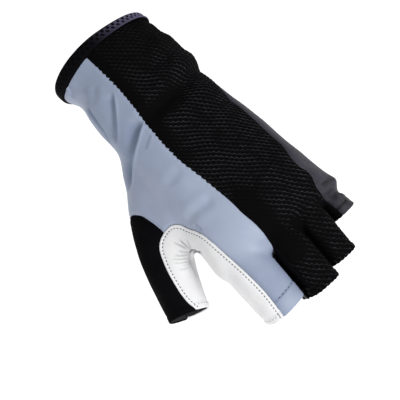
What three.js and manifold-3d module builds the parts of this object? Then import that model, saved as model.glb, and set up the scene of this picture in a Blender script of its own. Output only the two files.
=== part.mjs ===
// A fingerless cycling glove for the left hand, shown as it is worn, palm down, in millimetres.
// The origin is the centre of the wrist opening. +X runs to the fingertips, +Y to the little
// finger and +Z out of the back of the hand.
// One hollow form is lofted from the tables below and cut along its seams into sewn pieces.

import * as THREE from 'three';
import { mergeVertices } from 'three/addons/utils/BufferGeometryUtils.js';
import Module from 'manifold-3d';

// Thickness of the fabric and leather, and the clearance at every seam.
const WALL = 1.3;
const SEAM_GAP = 0.3;

// The elastic band round the wrist opening, and how far the opening leans up the arm on the back.
const BAND_WIDTH = 6.6;
const BAND_PROUD = 0.7;
const BAND_STEPS = 6;
const CUFF_LEAN = 0.15;
const CUFF_LEAN_LENGTH = 50;

// How far the hollow of a sleeve runs past its open end.
const OPEN_END = 8;

// Facets around and along each sleeve.
const BODY_SIDES = 30;
const BODY_STEPS = 26;
const FINGER_SIDES = 16;
const FINGER_STEPS = 6;
const THUMB_SIDES = 18;
const THUMB_STEPS = 9;
const FINGER_SQUARENESS = 2.2;
const THUMB_SQUARENESS = 2.1;

// Cutters reach this far past the glove on every side.
const FAR = 90;
const CURVE_STEPS = 4;
const PARTING_STRIPS = 4;

// Cross-sections of the hand part from the wrist to the finger roots. radial and ulnar are the
// edges on the thumb and little finger sides, dorsal and palmar the top and bottom, and drop is
// how far the ulnar edge sinks as the palm arches.
const BODY_COLUMNS = ['x', 'radial', 'ulnar', 'dorsal', 'palmar', 'squareness', 'drop'];
const BODY = [
  [0, -28.3, 28.3, 21.2, -20.2, 2.1, 0],
  [8, -27.2, 28.5, 20.8, -20.0, 2.15, 0],
  [18, -26.2, 31.0, 20.8, -20.0, 2.2, 0],
  [32, -26.8, 33.0, 20.0, -19.5, 2.3, 0],
  [47, -28.0, 30.2, 19.0, -19.0, 2.4, 0.5],
  [62, -30.0, 30.0, 18.5, -19.5, 2.5, 1.0],
  [82, -33.0, 32.0, 18.5, -19.0, 2.6, 2.0],
  [102, -35.0, 33.5, 18.0, -17.0, 2.7, 3.5],
  [118, -36.5, 34.8, 16.5, -14.5, 2.7, 5.0],
  [131, -35.5, 34.0, 12.8, -10.5, 2.6, 6.0],
];
const BODY_END = 131;

// Each finger bends from its root inside the hand part, over the knuckle, to its open hem.
const FINGER_COLUMNS = ['x', 'y', 'z', 'halfWidth', 'halfHeight'];
const FINGERS = {
  index: [[91, -20, 2, 11.2, 11.5], [129, -25.8, 5.5, 10.9, 11.0], [156.8, -22.5, -8.6, 10.6, 10.4]],
  middle: [[91, -5, 3, 10.5, 11.5], [131, -3.2, 7, 9.1, 10.8], [160.5, -2.2, -7.5, 8.8, 10.2]],
  ring: [[91, 10, 2, 9.7, 11.0], [129, 14.5, 5, 8.0, 10.2], [153.4, 15.5, -8.2, 8.2, 9.6]],
  little: [[91, 22, -2, 9.5, 10.0], [122, 29.3, 0, 7.4, 9.0], [140.4, 31.6, -7.6, 7.0, 8.4]],
};

// The thumb from inside the palm to its open hem, with station as the running number.
const THUMB_COLUMNS = ['station', 'x', 'y', 'z', 'halfWidth', 'halfHeight'];
const THUMB = [
  [0, 36.0, -8.0, -4, 12.0, 13.0],
  [1, 62.0, -20.0, -9, 15.0, 14.5],
  [2, 83.0, -35.0, -14, 14.6, 14.0],
  [3, 104.0, -46.0, -19, 12.8, 12.8],
  [4, 124.3, -53.8, -24, 11.0, 11.0],
];

// Folds pressed into the back of the glove: each runs straight from start to end, and a
// negative depth stands proud.
const FOLD_COLUMNS = ['startX', 'startY', 'endX', 'endY', 'halfWidth', 'depth'];
const FOLDS = [
  [45, 24, 49, -6, 4.5, 1.3],
  [37, 30, 40, 10, 4.5, -0.9],
  [57, 28, 60, 6, 5.0, -0.7],
  [22, -21, 40, -27, 3.2, 1.0],
  [50, -14, 59, -30, 3.4, 1.2],
  [43, -14, 51, -27, 3.4, -0.8],
  [90, -27, 107, -27, 3.6, 0.8],
  [14, 27, 17, 14, 3.6, 0.9],
];

// The seam between the palm side and the back, as the two points of each cross-section where
// the pieces meet.
const PARTING_COLUMNS = ['x', 'radialY', 'radialZ', 'ulnarY', 'ulnarZ'];
const PARTING = [
  [-20, -29, -6, 29, -4],
  [20, -27, -7, 32, -4],
  [35, -27.5, -8, 33, 0],
  [48, -28.5, -9, 31, 5],
  [61, -30, -10, 28, 9.6],
  [80, -34, -11, 26.8, 11.0],
  [90, -35, -9, 26.8, 11.2],
  [96, -36, -4, 26.8, 11.2],
  [120, -37, -3, 26, 9.8],
  [128, -35, -1, 25, 3.5],
  [134, -34, 0, 25, 0],
  [142, -33, -0.5, 27, -0.8],
  [152, -33, -4.5, 27, -4],
  [175, -33, -12, 27, -12],
];

// Seams seen from above, as x and y. Each list is a smooth curve.
const ULNAR_SEAM = [[60, 45], [60.5, 29], [64, 27], [92, 26.4], [108, 27], [121, 26.1], [129, 24.7], [139, 26.8], [160, 31]];
const BACK_SEAM = [[0, -11.7], [30, -12], [60, -15], [76, -15.4], [92, -13.4], [108, -11.6], [122, -11], [131, -11.6], [175, -12]];
const INSERT_SEAM = [
  [175, -28.9], [154, -28.9], [136.4, -30.1], [122, -32], [109.6, -31.9], [99, -33.4], [93, -36], [91.8, -39.8],
  [93.7, -43.8], [96.9, -47.8], [101.5, -50.5], [112, -53.4], [127, -54.2], [140, -53],
];
const THUMB_SEAM = [[64, -95], [64.5, -58], [67, -50], [71, -45.4], [76, -43.2], [81, -42], [95, -41], [112, -45], [140, -48]];

// The strips sewn between the fingers, from the web to past the hems.
const FOURCHETTE_COLUMNS = ['radialY', 'ulnarY', 'startX', 'endX'];
const FOURCHETTES = {
  fourchette_index_middle: [-14.2, -9.2, 128.5, 170],
  fourchette_middle_ring: [4.7, 9.4, 128.5, 166],
  fourchette_ring_little: [20.6, 27.2, 129.5, 160],
};

// Colour, roughness and metalness of each finish.
const FINISHES = {
  blackKnit: { color: 0x141416, roughness: 0.92, metalness: 0 },
  blueGreyStretch: { color: 0x8792a5, roughness: 0.62, metalness: 0 },
  whiteLeather: { color: 0xe6e6e8, roughness: 0.5, metalness: 0 },
  slateLeather: { color: 0x3b3b46, roughness: 0.55, metalness: 0 },
  blackStretch: { color: 0x101012, roughness: 0.9, metalness: 0 },
  blackElastic: { color: 0x1b1a20, roughness: 0.7, metalness: 0 },
};

const wasm = await Module();
wasm.setup();

const { clamp, lerp } = THREE.MathUtils;

// A table row as an object with its columns' names.
function named(columns, row) {
  return Object.fromEntries(columns.map((name, i) => [name, row[i]]));
}

// Reads a table smoothly at any value of its first column, and holds its ends.
function smoothTable(columns, rows) {
  const stations = rows.map((row) => row[0]);
  const values = rows.flatMap((row) => row.slice(1));
  const curve = new THREE.CubicInterpolant(stations, values, columns.length - 1);
  return (at) => named(columns.slice(1), curve.evaluate(at));
}

// Turns a closed three.js geometry into a solid that can be joined and cut.
function solidOf(geometry) {
  geometry.deleteAttribute('normal');
  geometry.deleteAttribute('uv');
  const merged = mergeVertices(geometry, 1e-4);
  const vertProperties = Float32Array.from(merged.attributes.position.array);
  const triVerts = Uint32Array.from(merged.index.array);
  return new wasm.Manifold(new wasm.Mesh({ numProp: 3, vertProperties, triVerts }));
}

// A point of the unit disc pushed out to the outline of a rounded square.
function squared(value, squareness) {
  return Math.sign(value) * Math.abs(value) ** (2 / squareness);
}

// A closed sleeve: pointAt(along, across, up) places the points of a unit cylinder, with along
// from 0 to 1 and across and up inside the unit disc.
function sleeve(sides, steps, pointAt) {
  const geometry = new THREE.CylinderGeometry(1, 1, 1, sides, steps);
  const position = geometry.attributes.position;
  for (let i = 0; i < position.count; i += 1) {
    const point = pointAt(position.getY(i) + 0.5, position.getZ(i), position.getX(i));
    position.setXYZ(i, point.x, point.y, point.z);
  }
  return solidOf(geometry);
}

// The cross-section frame of a sleeve whose centre line runs in a direction.
function sectionPoint(centre, direction, across, up) {
  const side = new THREE.Vector3(0, 0, 1).cross(direction).normalize();
  const top = new THREE.Vector3().crossVectors(direction, side).normalize();
  return centre.clone().addScaledVector(side, across).addScaledVector(top, up);
}

const bodyAt = smoothTable(BODY_COLUMNS, BODY);
const thumbAt = smoothTable(THUMB_COLUMNS, THUMB);
const folds = FOLDS.map((row) => named(FOLD_COLUMNS, row));

// How deep the folds press into the back at a place seen from above.
function foldDepth(x, y) {
  const place = new THREE.Vector3(x, y, 0);
  const nearest = new THREE.Vector3();
  let depth = 0;
  for (const fold of folds) {
    const line = new THREE.Line3(
      new THREE.Vector3(fold.startX, fold.startY, 0),
      new THREE.Vector3(fold.endX, fold.endY, 0),
    );
    line.closestPointToPoint(place, true, nearest);
    depth += fold.depth * Math.exp(-((place.distanceTo(nearest) / fold.halfWidth) ** 2));
  }
  return depth;
}

// A point of the hand part, inset from its outer face.
function bodyPoint(x, across, up, inset) {
  const section = bodyAt(x);
  const halfWidth = (section.ulnar - section.radial) / 2 - inset;
  const halfHeight = (section.dorsal - section.palmar) / 2 - inset;
  let y = (section.ulnar + section.radial) / 2 + halfWidth * squared(across, section.squareness);
  let z = (section.dorsal + section.palmar) / 2 + halfHeight * squared(up, section.squareness);
  z -= section.drop * clamp(y / section.ulnar, 0, 1.2) ** 2;
  const press = foldDepth(x, y) * clamp(2 * up, 0, 1);
  y -= press * across;
  z -= press * up;
  const lean = CUFF_LEAN * clamp(1 - x / CUFF_LEAN_LENGTH, 0, 1) ** 2;
  return new THREE.Vector3(x - lean * z, y, z);
}

// The hand part between two stations. The inset may change along it.
function bodySleeve(startX, endX, steps, insetAt) {
  return sleeve(BODY_SIDES, steps, (along, across, up) => {
    const x = lerp(startX, endX, along);
    return bodyPoint(x, across, up, insetAt(along));
  });
}

// A finger, from the start of its curve at 0 to its hem at 1, and past it where end is more.
function fingerSleeve(rows, end, inset) {
  const [root, bend, hem] = rows.map((row) => named(FINGER_COLUMNS, row));
  return sleeve(FINGER_SIDES, FINGER_STEPS, (along, across, up) => {
    const t = along * end;
    const blend = (name) => (1 - t) ** 2 * root[name] + 2 * t * (1 - t) * bend[name] + t * t * hem[name];
    const slope = (name) => 2 * (1 - t) * (bend[name] - root[name]) + 2 * t * (hem[name] - bend[name]);
    const centre = new THREE.Vector3(blend('x'), blend('y'), blend('z'));
    const direction = new THREE.Vector3(slope('x'), slope('y'), slope('z')).normalize();
    const width = (blend('halfWidth') - inset) * squared(across, FINGER_SQUARENESS);
    const height = (blend('halfHeight') - inset) * squared(up, FINGER_SQUARENESS);
    return sectionPoint(centre, direction, width, height);
  });
}

// The centre of the thumb at a station. Past the hem it runs straight on.
function thumbCentre(station) {
  const last = THUMB.length - 1;
  const row = thumbAt(Math.min(station, last));
  const centre = new THREE.Vector3(row.x, row.y, row.z);
  if (station <= last) return centre;
  const before = thumbAt(last - 0.01);
  const step = centre.clone().sub(new THREE.Vector3(before.x, before.y, before.z)).multiplyScalar(100);
  return centre.addScaledVector(step, station - last);
}

// The thumb, from its root inside the palm to a station at or past its hem.
function thumbSleeve(end, inset) {
  return sleeve(THUMB_SIDES, THUMB_STEPS, (along, across, up) => {
    const station = along * end;
    const centre = thumbCentre(station);
    const direction = thumbCentre(station + 0.01).sub(thumbCentre(Math.max(station - 0.01, 0))).normalize();
    const row = thumbAt(Math.min(station, THUMB.length - 1));
    const width = (row.halfWidth - inset) * squared(across, THUMB_SQUARENESS);
    const height = (row.halfHeight - inset) * squared(up, THUMB_SQUARENESS);
    return sectionPoint(centre, direction, width, height);
  });
}

// The whole glove without its band: the outer form less the hollow that the hand goes into.
function makeShell() {
  const start = BAND_WIDTH + SEAM_GAP;
  let outer = bodySleeve(start, BODY_END, BODY_STEPS, () => 0);
  let hollow = bodySleeve(start - OPEN_END, BODY_END - WALL, BODY_STEPS, () => WALL);
  for (const rows of Object.values(FINGERS)) {
    const pastHem = 1 + OPEN_END / (rows[2][0] - rows[0][0]);
    outer = outer.add(fingerSleeve(rows, 1, 0));
    hollow = hollow.add(fingerSleeve(rows, pastHem, WALL));
  }
  const last = THUMB.length - 1;
  outer = outer.add(thumbSleeve(last, 0));
  hollow = hollow.add(thumbSleeve(last + OPEN_END / 20, WALL));
  return outer.subtract(hollow);
}

// The elastic band, which stands a little proud and is rounded at both edges.
function makeBand() {
  const proud = (along) => -BAND_PROUD * (1 - (2 * along - 1) ** 4);
  const outer = bodySleeve(0, BAND_WIDTH, BAND_STEPS, proud);
  const hollow = bodySleeve(-OPEN_END, BAND_WIDTH + OPEN_END, BAND_STEPS, () => WALL);
  return outer.subtract(hollow);
}

// Points of a closed outline, moved outwards by a clearance.
function grown(points, clearance) {
  const turn = THREE.ShapeUtils.area(points) > 0 ? 1 : -1;
  return points.map((point, i) => {
    const before = points[(i + points.length - 1) % points.length];
    const after = points[(i + 1) % points.length];
    const incoming = point.clone().sub(before).normalize();
    const outgoing = after.clone().sub(point).normalize();
    const tangent = incoming.clone().add(outgoing).normalize();
    const outwards = new THREE.Vector2(tangent.y, -tangent.x).multiplyScalar(turn);
    const miter = Math.max(tangent.dot(outgoing), 0.5);
    return point.clone().addScaledVector(outwards, clearance / miter);
  });
}

// A cutter that stands on the area between a seam and straight lines through far corners.
function seamPrism(seam, corners, clearance) {
  const curve = new THREE.SplineCurve(seam.map(([x, y]) => new THREE.Vector2(x, y)));
  const points = curve.getPoints((seam.length - 1) * CURVE_STEPS);
  points.push(...corners.map(([x, y]) => new THREE.Vector2(x, y)));
  const shape = new THREE.Shape(grown(points, clearance));
  const geometry = new THREE.ExtrudeGeometry(shape, { depth: 2 * FAR, bevelEnabled: false });
  geometry.translate(0, 0, -FAR);
  return solidOf(geometry);
}

// A straight-sided cutter for the strip between two fingers.
function stripBox(strip, clearance) {
  const length = strip.endX - strip.startX + 2 * clearance;
  const width = strip.ulnarY - strip.radialY + 2 * clearance;
  const geometry = new THREE.BoxGeometry(length, width, 2 * FAR);
  geometry.translate((strip.startX + strip.endX) / 2, (strip.radialY + strip.ulnarY) / 2, 0);
  return solidOf(geometry);
}

// Everything below the parting seam: a box whose top runs straight between the two points of
// each parting row, and level beyond them.
function belowParting(clearance) {
  const rows = PARTING.map((row) => named(PARTING_COLUMNS, row));
  const geometry = new THREE.BoxGeometry(1, 1, 1, rows.length - 1, PARTING_STRIPS + 2, 1);
  const position = geometry.attributes.position;
  for (let i = 0; i < position.count; i += 1) {
    const row = rows[Math.round((position.getX(i) + 0.5) * (rows.length - 1))];
    const column = Math.round((position.getY(i) + 0.5) * (PARTING_STRIPS + 2));
    const across = clamp((column - 1) / PARTING_STRIPS, 0, 1);
    const isOuter = column === 0 || column === PARTING_STRIPS + 2;
    const y = isOuter ? Math.sign(position.getY(i)) * FAR : lerp(row.radialY, row.ulnarY, across);
    const top = lerp(row.radialZ, row.ulnarZ, across) + clearance;
    position.setXYZ(i, row.x, y, position.getZ(i) > 0 ? top : -FAR);
  }
  return solidOf(geometry);
}

// The palm side of the glove, with the leather that wraps up round the little finger side.
function palmRegion(clearance) {
  const wrap = seamPrism(ULNAR_SEAM, [[160, FAR], [60, FAR]], clearance);
  return belowParting(clearance).add(wrap);
}

// The pieces in the order that they are cut: each takes its region of what is left.
const SEWN_PIECES = [
  {
    name: 'crotch_insert',
    finish: 'whiteLeather',
    region: (clearance) => seamPrism(INSERT_SEAM, [[175, -53]], clearance),
  },
  ...Object.entries(FOURCHETTES).map(([name, row]) => ({
    name,
    finish: 'blackStretch',
    region: (clearance) => stripBox(named(FOURCHETTE_COLUMNS, row), clearance),
  })),
  {
    name: 'thumb_panel',
    finish: 'blackStretch',
    region: (clearance) => seamPrism(THUMB_SEAM, [[140, -95]], clearance),
  },
  { name: 'palm_panel', finish: 'slateLeather', region: palmRegion },
  {
    name: 'back_panel',
    finish: 'blackKnit',
    region: (clearance) => seamPrism(BACK_SEAM, [[175, FAR], [-20, FAR], [-20, -11.7]], clearance),
  },
];

function meshOf(name, solid, finish) {
  const { numProp, vertProperties, triVerts } = solid.getMesh();
  const geometry = new THREE.BufferGeometry();
  geometry.setAttribute('position', new THREE.BufferAttribute(vertProperties, numProp));
  geometry.setIndex(new THREE.BufferAttribute(triVerts, 1));
  geometry.computeVertexNormals();
  const mesh = new THREE.Mesh(geometry, new THREE.MeshStandardMaterial(FINISHES[finish]));
  mesh.name = name;
  return mesh;
}

const glove = new THREE.Group();
glove.add(meshOf('cuff_band', makeBand(), 'blackElastic'));
let rest = makeShell();
for (const { name, finish, region } of SEWN_PIECES) {
  glove.add(meshOf(name, rest.intersect(region(0)), finish));
  rest = rest.subtract(region(SEAM_GAP));
}
glove.add(meshOf('side_panel', rest, 'blueGreyStretch'));

export default glove;
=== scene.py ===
"""The looks of a fingerless cycling glove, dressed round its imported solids.

The glove is held up at its wrist opening, palm down. +X runs to the fingertips, +Y to the
little finger and +Z out of the back of the hand. Forms are worked out in millimetres from the
same tables as the solids, and each finished piece is stored in metres.
"""

import logging
import math
from collections import defaultdict
from collections.abc import Callable, Iterable
from dataclasses import dataclass, field
from enum import Enum
from functools import partial

import bmesh
import bpy
import numpy as np
from mathutils import Matrix, Vector
from mathutils.kdtree import KDTree


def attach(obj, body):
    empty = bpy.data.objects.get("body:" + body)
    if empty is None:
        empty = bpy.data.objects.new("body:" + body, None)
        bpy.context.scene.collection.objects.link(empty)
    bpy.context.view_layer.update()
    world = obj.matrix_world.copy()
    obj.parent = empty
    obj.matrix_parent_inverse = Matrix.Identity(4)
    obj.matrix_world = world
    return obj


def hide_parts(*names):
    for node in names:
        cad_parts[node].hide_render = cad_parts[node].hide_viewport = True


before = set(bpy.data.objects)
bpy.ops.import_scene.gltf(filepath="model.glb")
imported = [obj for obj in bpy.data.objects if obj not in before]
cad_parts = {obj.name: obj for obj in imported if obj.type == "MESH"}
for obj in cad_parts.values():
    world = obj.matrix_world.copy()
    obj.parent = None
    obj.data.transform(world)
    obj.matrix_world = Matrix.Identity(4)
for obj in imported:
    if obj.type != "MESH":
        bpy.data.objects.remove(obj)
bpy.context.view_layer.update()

logging.basicConfig(level=logging.INFO, format="%(message)s")
LOG = logging.getLogger("glove")

Array = np.ndarray
Line = tuple[tuple[float, ...], ...]
Skin = bmesh.types.BMesh
Vertex = bmesh.types.BMVert
Socket = bpy.types.NodeSocket

MM = 0.001
BODY_NAME = "root"
# Millimetres past a sleeve's closed end over which its radius grows by one.
END_FADE = 12
# The row of a finger's or the thumb's centre line that lies at its hem.
HEM = 79
# How many places are measured at one time.
CHUNK = 15000


# Tables and small mathematics


@dataclass(frozen=True)
class SmoothTable:
    """Rows of named columns, read smoothly at any value of the first column."""

    columns: tuple[str, ...]
    rows: tuple[tuple[float, ...], ...]

    def at(self, where: Array) -> dict[str, Array]:
        """Reads every column.

        Args:
            where: Values of the first column. Past the ends the end row holds.

        Returns:
            One array for each later column, by its name.
        """
        table = np.array(self.rows, float)
        key = table[:, 0]
        at = np.clip(where, key[0], key[-1])
        low = np.clip(np.searchsorted(key, at, side="right") - 1, 0, len(key) - 2)
        step = key[low + 1] - key[low]
        t = (at - key[low]) / step
        found = {}
        for number, name in enumerate(self.columns[1:], start=1):
            value = table[:, number]
            slope = np.gradient(value, key)
            found[name] = (
                (2 * t**3 - 3 * t**2 + 1) * value[low]
                + (t**3 - 2 * t**2 + t) * step * slope[low]
                + (3 * t**2 - 2 * t**3) * value[low + 1]
                + (t**3 - t**2) * step * slope[low + 1]
            )
        return found


def squared(value: Array, squareness: Array | float) -> Array:
    """Pushes a coordinate of the unit disc out to the outline of a rounded square."""
    return np.sign(value) * np.abs(value) ** (2 / squareness)


def disc_radius(across: Array, up: Array, squareness: Array | float) -> Array:
    """How far out a point lies by the outline of a rounded square: 1 on the outline."""
    return (np.abs(across) ** squareness + np.abs(up) ** squareness) ** (1 / squareness)


def ease(value: Array, low: float, high: float) -> Array:
    """A smooth step from 0 at low to 1 at high."""
    t = np.clip((value - low) / (high - low), 0, 1)
    return t * t * (3 - 2 * t)


def taper(along: Array, start: float, full: float, fall: float, end: float) -> Array:
    """1 along the middle of a line, easing off to 0 towards both its ends."""
    return ease(along, start, full) * (1 - ease(along, fall, end))


def bell(value: Array, width: Array | float) -> Array:
    """A smooth bump, 1 at nought and 0 a few widths away."""
    return np.exp(-((value / width) ** 2))


def dent(gap: Array, width: Array | float, swell: float) -> Array:
    """A hollow along a line, 1 at its middle, with a lower swell on each side."""
    return bell(gap, width) - swell * bell(gap - 1.9 * width, width)


def dot(first: Array, second: Array) -> Array:
    """The dot product of each row with its partner."""
    return np.einsum("nk,nk->n", first, second)


def spline(points: Iterable[tuple[float, ...]], steps: int = 8) -> Array:
    """A smooth curve through points.

    Args:
        points: The points that the curve passes through.
        steps: Pieces between one point and the next.

    Returns:
        The curve's points, one row each.
    """
    knots = np.array(list(points), float)
    padded = np.vstack([2 * knots[0] - knots[1], knots, 2 * knots[-1] - knots[-2]])
    curve = []
    for a, b, c, d in zip(padded, padded[1:], padded[2:], padded[3:]):
        bend, twist = 2 * a - 5 * b + 4 * c - d, 3 * b - a - 3 * c + d
        curve += [0.5 * (2 * b + (c - a) * t + bend * t**2 + twist * t**3) for t in np.arange(steps) / steps]
    curve.append(knots[-1])
    return np.array(curve)


def offset_from_path(places: Array, path: Array) -> tuple[Array, Array, Array]:
    """Measures from a path of straight pieces to places, in two or three dimensions.

    Args:
        places: One place in each row.
        path: The path's points.

    Returns:
        The offsets from the nearest points of the path, the path's directions there, and how far
        along the path they lie, from 0 to 1.
    """
    start, step = path[:-1], np.diff(path, axis=0)
    length = np.linalg.norm(step, axis=1)
    reach = np.concatenate([[0], np.cumsum(length)])
    best = np.full(len(places), np.inf)
    nearest, heading, along = np.zeros(places.shape), np.zeros(places.shape), np.zeros(len(places))
    for number in range(len(start)):
        offset = places - start[number]
        t = np.clip(offset @ step[number] / max(length[number] ** 2, 1e-12), 0, 1)
        offset = offset - t[:, None] * step[number]
        gap = np.linalg.norm(offset, axis=1)
        nearer = gap < best
        best[nearer], nearest[nearer] = gap[nearer], offset[nearer]
        heading[nearer] = step[number] / length[number]
        along[nearer] = (reach[number] + t[nearer] * length[number]) / reach[-1]
    return nearest, heading, along


def distance_to_path(places: Array, path: Array) -> tuple[Array, Array]:
    """The distances from places to a path, and how far along it the nearest points lie, from 0 to 1."""
    offset, _, along = offset_from_path(places, path)
    return np.linalg.norm(offset, axis=1), along


def inside_outline(places: Array, line: Line, *corners: tuple[float, float]) -> Array:
    """How deep places lie inside an outline seen from above, negative outside it.

    Args:
        places: One place in each row.
        line: The points of the outline's smooth side.
        corners: The points that close it.

    Returns:
        The depths.
    """
    outline = np.vstack([spline(line), corners])
    closed = np.vstack([outline, outline[:1]])
    gap, _ = distance_to_path(places[:, :2], closed)
    crossings = np.zeros(len(places), int)
    x, y = places[:, 0], places[:, 1]
    for (ax, ay), (bx, by) in zip(closed, closed[1:]):
        spans = (ay > y) != (by > y)
        if by != ay:
            crossings += spans & (x < (bx - ax) * (y - ay) / (by - ay) + ax)
    return np.where(crossings % 2 == 1, gap, -gap)


# The form of the glove


class Part(Enum):
    """The sleeves that the glove's form is joined from."""

    HAND = "hand"
    INDEX = "index"
    MIDDLE = "middle"
    RING = "ring"
    LITTLE = "little"
    THUMB = "thumb"


FINGERS = (Part.INDEX, Part.MIDDLE, Part.RING, Part.LITTLE)


@dataclass
class SleevePlaces:
    """Where places lie on one sleeve.

    Attributes:
        along: The station along the sleeve.
        across: The offset to the ulnar side over the half width.
        up: The offset to the back over the half height.
        radius: 1 on the sleeve's face, less inside it.
        past_hem: How far beyond the hem, in millimetres.
    """

    along: Array
    across: Array
    up: Array
    radius: Array
    past_hem: Array


@dataclass
class HandSleeve:
    """The part of the glove from the wrist to the finger roots."""

    lean: float = 0.2
    lean_length: float = 45.0
    start: float = 5.2
    end: float = 131.0
    sides: int = 96
    steps: int = 110
    sections: SmoothTable = SmoothTable(
        ("x", "radial", "ulnar", "dorsal", "palmar", "squareness", "drop"),
        (
            (-3, -28.6, 26.6, 19.1, -21.0, 1.92, -6.0),
            (5, -28.3, 27.4, 19.4, -20.8, 1.95, -5.2),
            (11, -25.5, 29.0, 20.2, -20.4, 2.08, -2.6),
            (16, -25.4, 30.6, 20.6, -20.1, 2.15, -1.1),
            (23, -27.3, 31.8, 20.7, -19.8, 2.24, -0.2),
            (32, -28.4, 31.9, 20.0, -19.5, 2.3, 0),
            (40, -28.3, 31.0, 19.5, -19.2, 2.35, 0.3),
            (48, -29.2, 29.7, 19.0, -19.0, 2.4, 0.5),
            (54, -29.8, 29.3, 18.8, -19.2, 2.43, 0.7),
            (62, -30.6, 31.2, 18.5, -19.5, 2.5, 1.0),
            (82, -33.0, 33.6, 18.5, -19.0, 2.6, 2.0),
            (102, -34.4, 35.2, 18.0, -17.0, 2.7, 3.5),
            (110, -34.5, 36.1, 17.4, -15.8, 2.7, 4.3),
            (118, -35.9, 37.0, 16.5, -14.5, 2.7, 5.0),
            (125, -37.1, 36.0, 14.8, -12.6, 2.65, 5.5),
            (131, -36.7, 34.6, 12.6, -10.5, 2.6, 6.0),
        ),
    )

    def place(self, x: Array, across: Array, up: Array, proud: Array | float = 0.0) -> Array:
        """Points of the hand part.

        Args:
            x: Stations along the hand.
            across: Unit disc coordinate to the ulnar side.
            up: Unit disc coordinate to the back.
            proud: How far outside the face.

        Returns:
            One point in each row.
        """
        at = self.sections.at(x)
        middle_y, half_width, middle_z, half_height = self.box(at)
        y = middle_y + (half_width + proud) * squared(across, at["squareness"])
        z = middle_z + (half_height + proud) * squared(up, at["squareness"]) - self.sag(at, y)
        return np.stack([x - self.slant(x) * z, y, z], axis=1)

    @staticmethod
    def box(at: dict[str, Array]) -> tuple[Array, ...]:
        """The middles and half sizes of sections: both across, then both up."""
        limits = ((at["ulnar"], at["radial"]), (at["dorsal"], at["palmar"]))
        return tuple(value for high, low in limits for value in ((high + low) / 2, (high - low) / 2))

    @staticmethod
    def sag(at: dict[str, Array], y: Array) -> Array:
        """How far the ulnar side of sections droops."""
        return at["drop"] * np.clip(y / at["ulnar"], 0, 1.2) ** 2

    def slant(self, x: Array) -> Array:
        """How far each section leans up the arm for a millimetre of height."""
        return self.lean * np.clip(1 - x / self.lean_length, 0, None) ** 2

    def station(self, places: Array) -> Array:
        """The stations of the sections that places lie on, with the lean taken out."""
        x = places[:, 0].copy()
        for _ in range(8):
            x = places[:, 0] + self.slant(x) * places[:, 2]
        return x

    def find(self, places: Array) -> SleevePlaces:
        """Where places lie on the hand part."""
        x = self.station(places)
        at = self.sections.at(x)
        middle_y, half_width, middle_z, half_height = self.box(at)
        across = (places[:, 1] - middle_y) / half_width
        up = (places[:, 2] + self.sag(at, places[:, 1]) - middle_z) / half_height
        radius = np.maximum(disc_radius(across, up, at["squareness"]), 1 + (x - self.end) / END_FADE)
        return SleevePlaces(x, across, up, radius, self.start - x)


SLEEVE_COLUMNS = ("station", "x", "y", "z", "half_width", "half_height")


@dataclass
class BentSleeve:
    """A finger or thumb: a round sleeve whose centre line is a smooth curve to an open hem."""

    sections: SmoothTable
    squareness: float
    past_hem: float = 6.0
    sides: int = 56
    steps: int = 50

    def centre_line(self) -> tuple[Array, Array, Array, Array]:
        """Samples the sleeve.

        Returns:
            Centres, directions, half widths and half heights. The last tenth runs past the hem.
        """
        extra = 8
        stations = np.linspace(0, self.sections.rows[-1][0], HEM + 1)
        at = self.sections.at(stations)
        centres = np.stack([at["x"], at["y"], at["z"]], axis=1)
        directions = np.gradient(centres, axis=0)
        directions /= np.linalg.norm(directions, axis=1, keepdims=True)
        beyond = np.linspace(0, self.past_hem, extra + 1)[1:]
        centres = np.vstack([centres, centres[-1] + beyond[:, None] * directions[-1]])
        directions = np.vstack([directions, np.repeat(directions[-1:], extra, axis=0)])
        halves = (at["half_width"], at["half_height"])
        width, height = (np.append(half, np.full(extra, half[-1])) for half in halves)
        return centres, directions, width, height

    def sides_and_tops(self, directions: Array) -> tuple[Array, Array]:
        """The ulnar and dorsal directions of sections that face along directions."""
        side = np.cross([0, 0, 1.0], directions)
        side /= np.linalg.norm(side, axis=1, keepdims=True)
        return side, np.cross(directions, side)

    def place(self, along: Array, across: Array, up: Array) -> Array:
        """Points of the sleeve, with along from 0 at its root to 1 past its hem."""
        centres, directions, width, height = self.centre_line()
        ticks = np.linspace(0, 1, len(centres))
        read = lambda values: np.interp(along, ticks, values)
        centre = np.stack([read(centres[:, axis]) for axis in range(3)], axis=1)
        facing = np.stack([read(directions[:, axis]) for axis in range(3)], axis=1)
        facing /= np.linalg.norm(facing, axis=1, keepdims=True)
        side, top = self.sides_and_tops(facing)
        reach_side = read(width) * squared(across, self.squareness)
        reach_top = read(height) * squared(up, self.squareness)
        return centre + side * reach_side[:, None] + top * reach_top[:, None]

    def find(self, places: Array) -> SleevePlaces:
        """Where places lie on the sleeve, found chunk by chunk."""
        chunks = np.array_split(places, max(1, len(places) // CHUNK))
        found = zip(*(vars(self.find_chunk(chunk)).values() for chunk in chunks))
        return SleevePlaces(*(np.concatenate(values) for values in found))

    def find_chunk(self, places: Array) -> SleevePlaces:
        """Where one chunk of places lies on the sleeve."""
        centres, directions, width, height = self.centre_line()
        side, top = self.sides_and_tops(directions)
        offset = places[:, None, :] - centres[None]
        ahead = np.einsum("nsk,sk->ns", offset, directions)
        near = np.argmin(np.abs(ahead) + 0.05 * np.linalg.norm(offset, axis=2), axis=1)
        rows = np.arange(len(places))
        across = dot(offset[rows, near], side[near]) / width[near]
        up = dot(offset[rows, near], top[near]) / height[near]
        radius = disc_radius(across, up, self.squareness)
        radius = np.where(near == 0, np.maximum(radius, 1 - ahead[:, 0] / END_FADE), radius)
        hem = (places - centres[HEM]) @ directions[HEM]
        return SleevePlaces(near / (len(centres) - 1), across, up, radius, hem)


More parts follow.
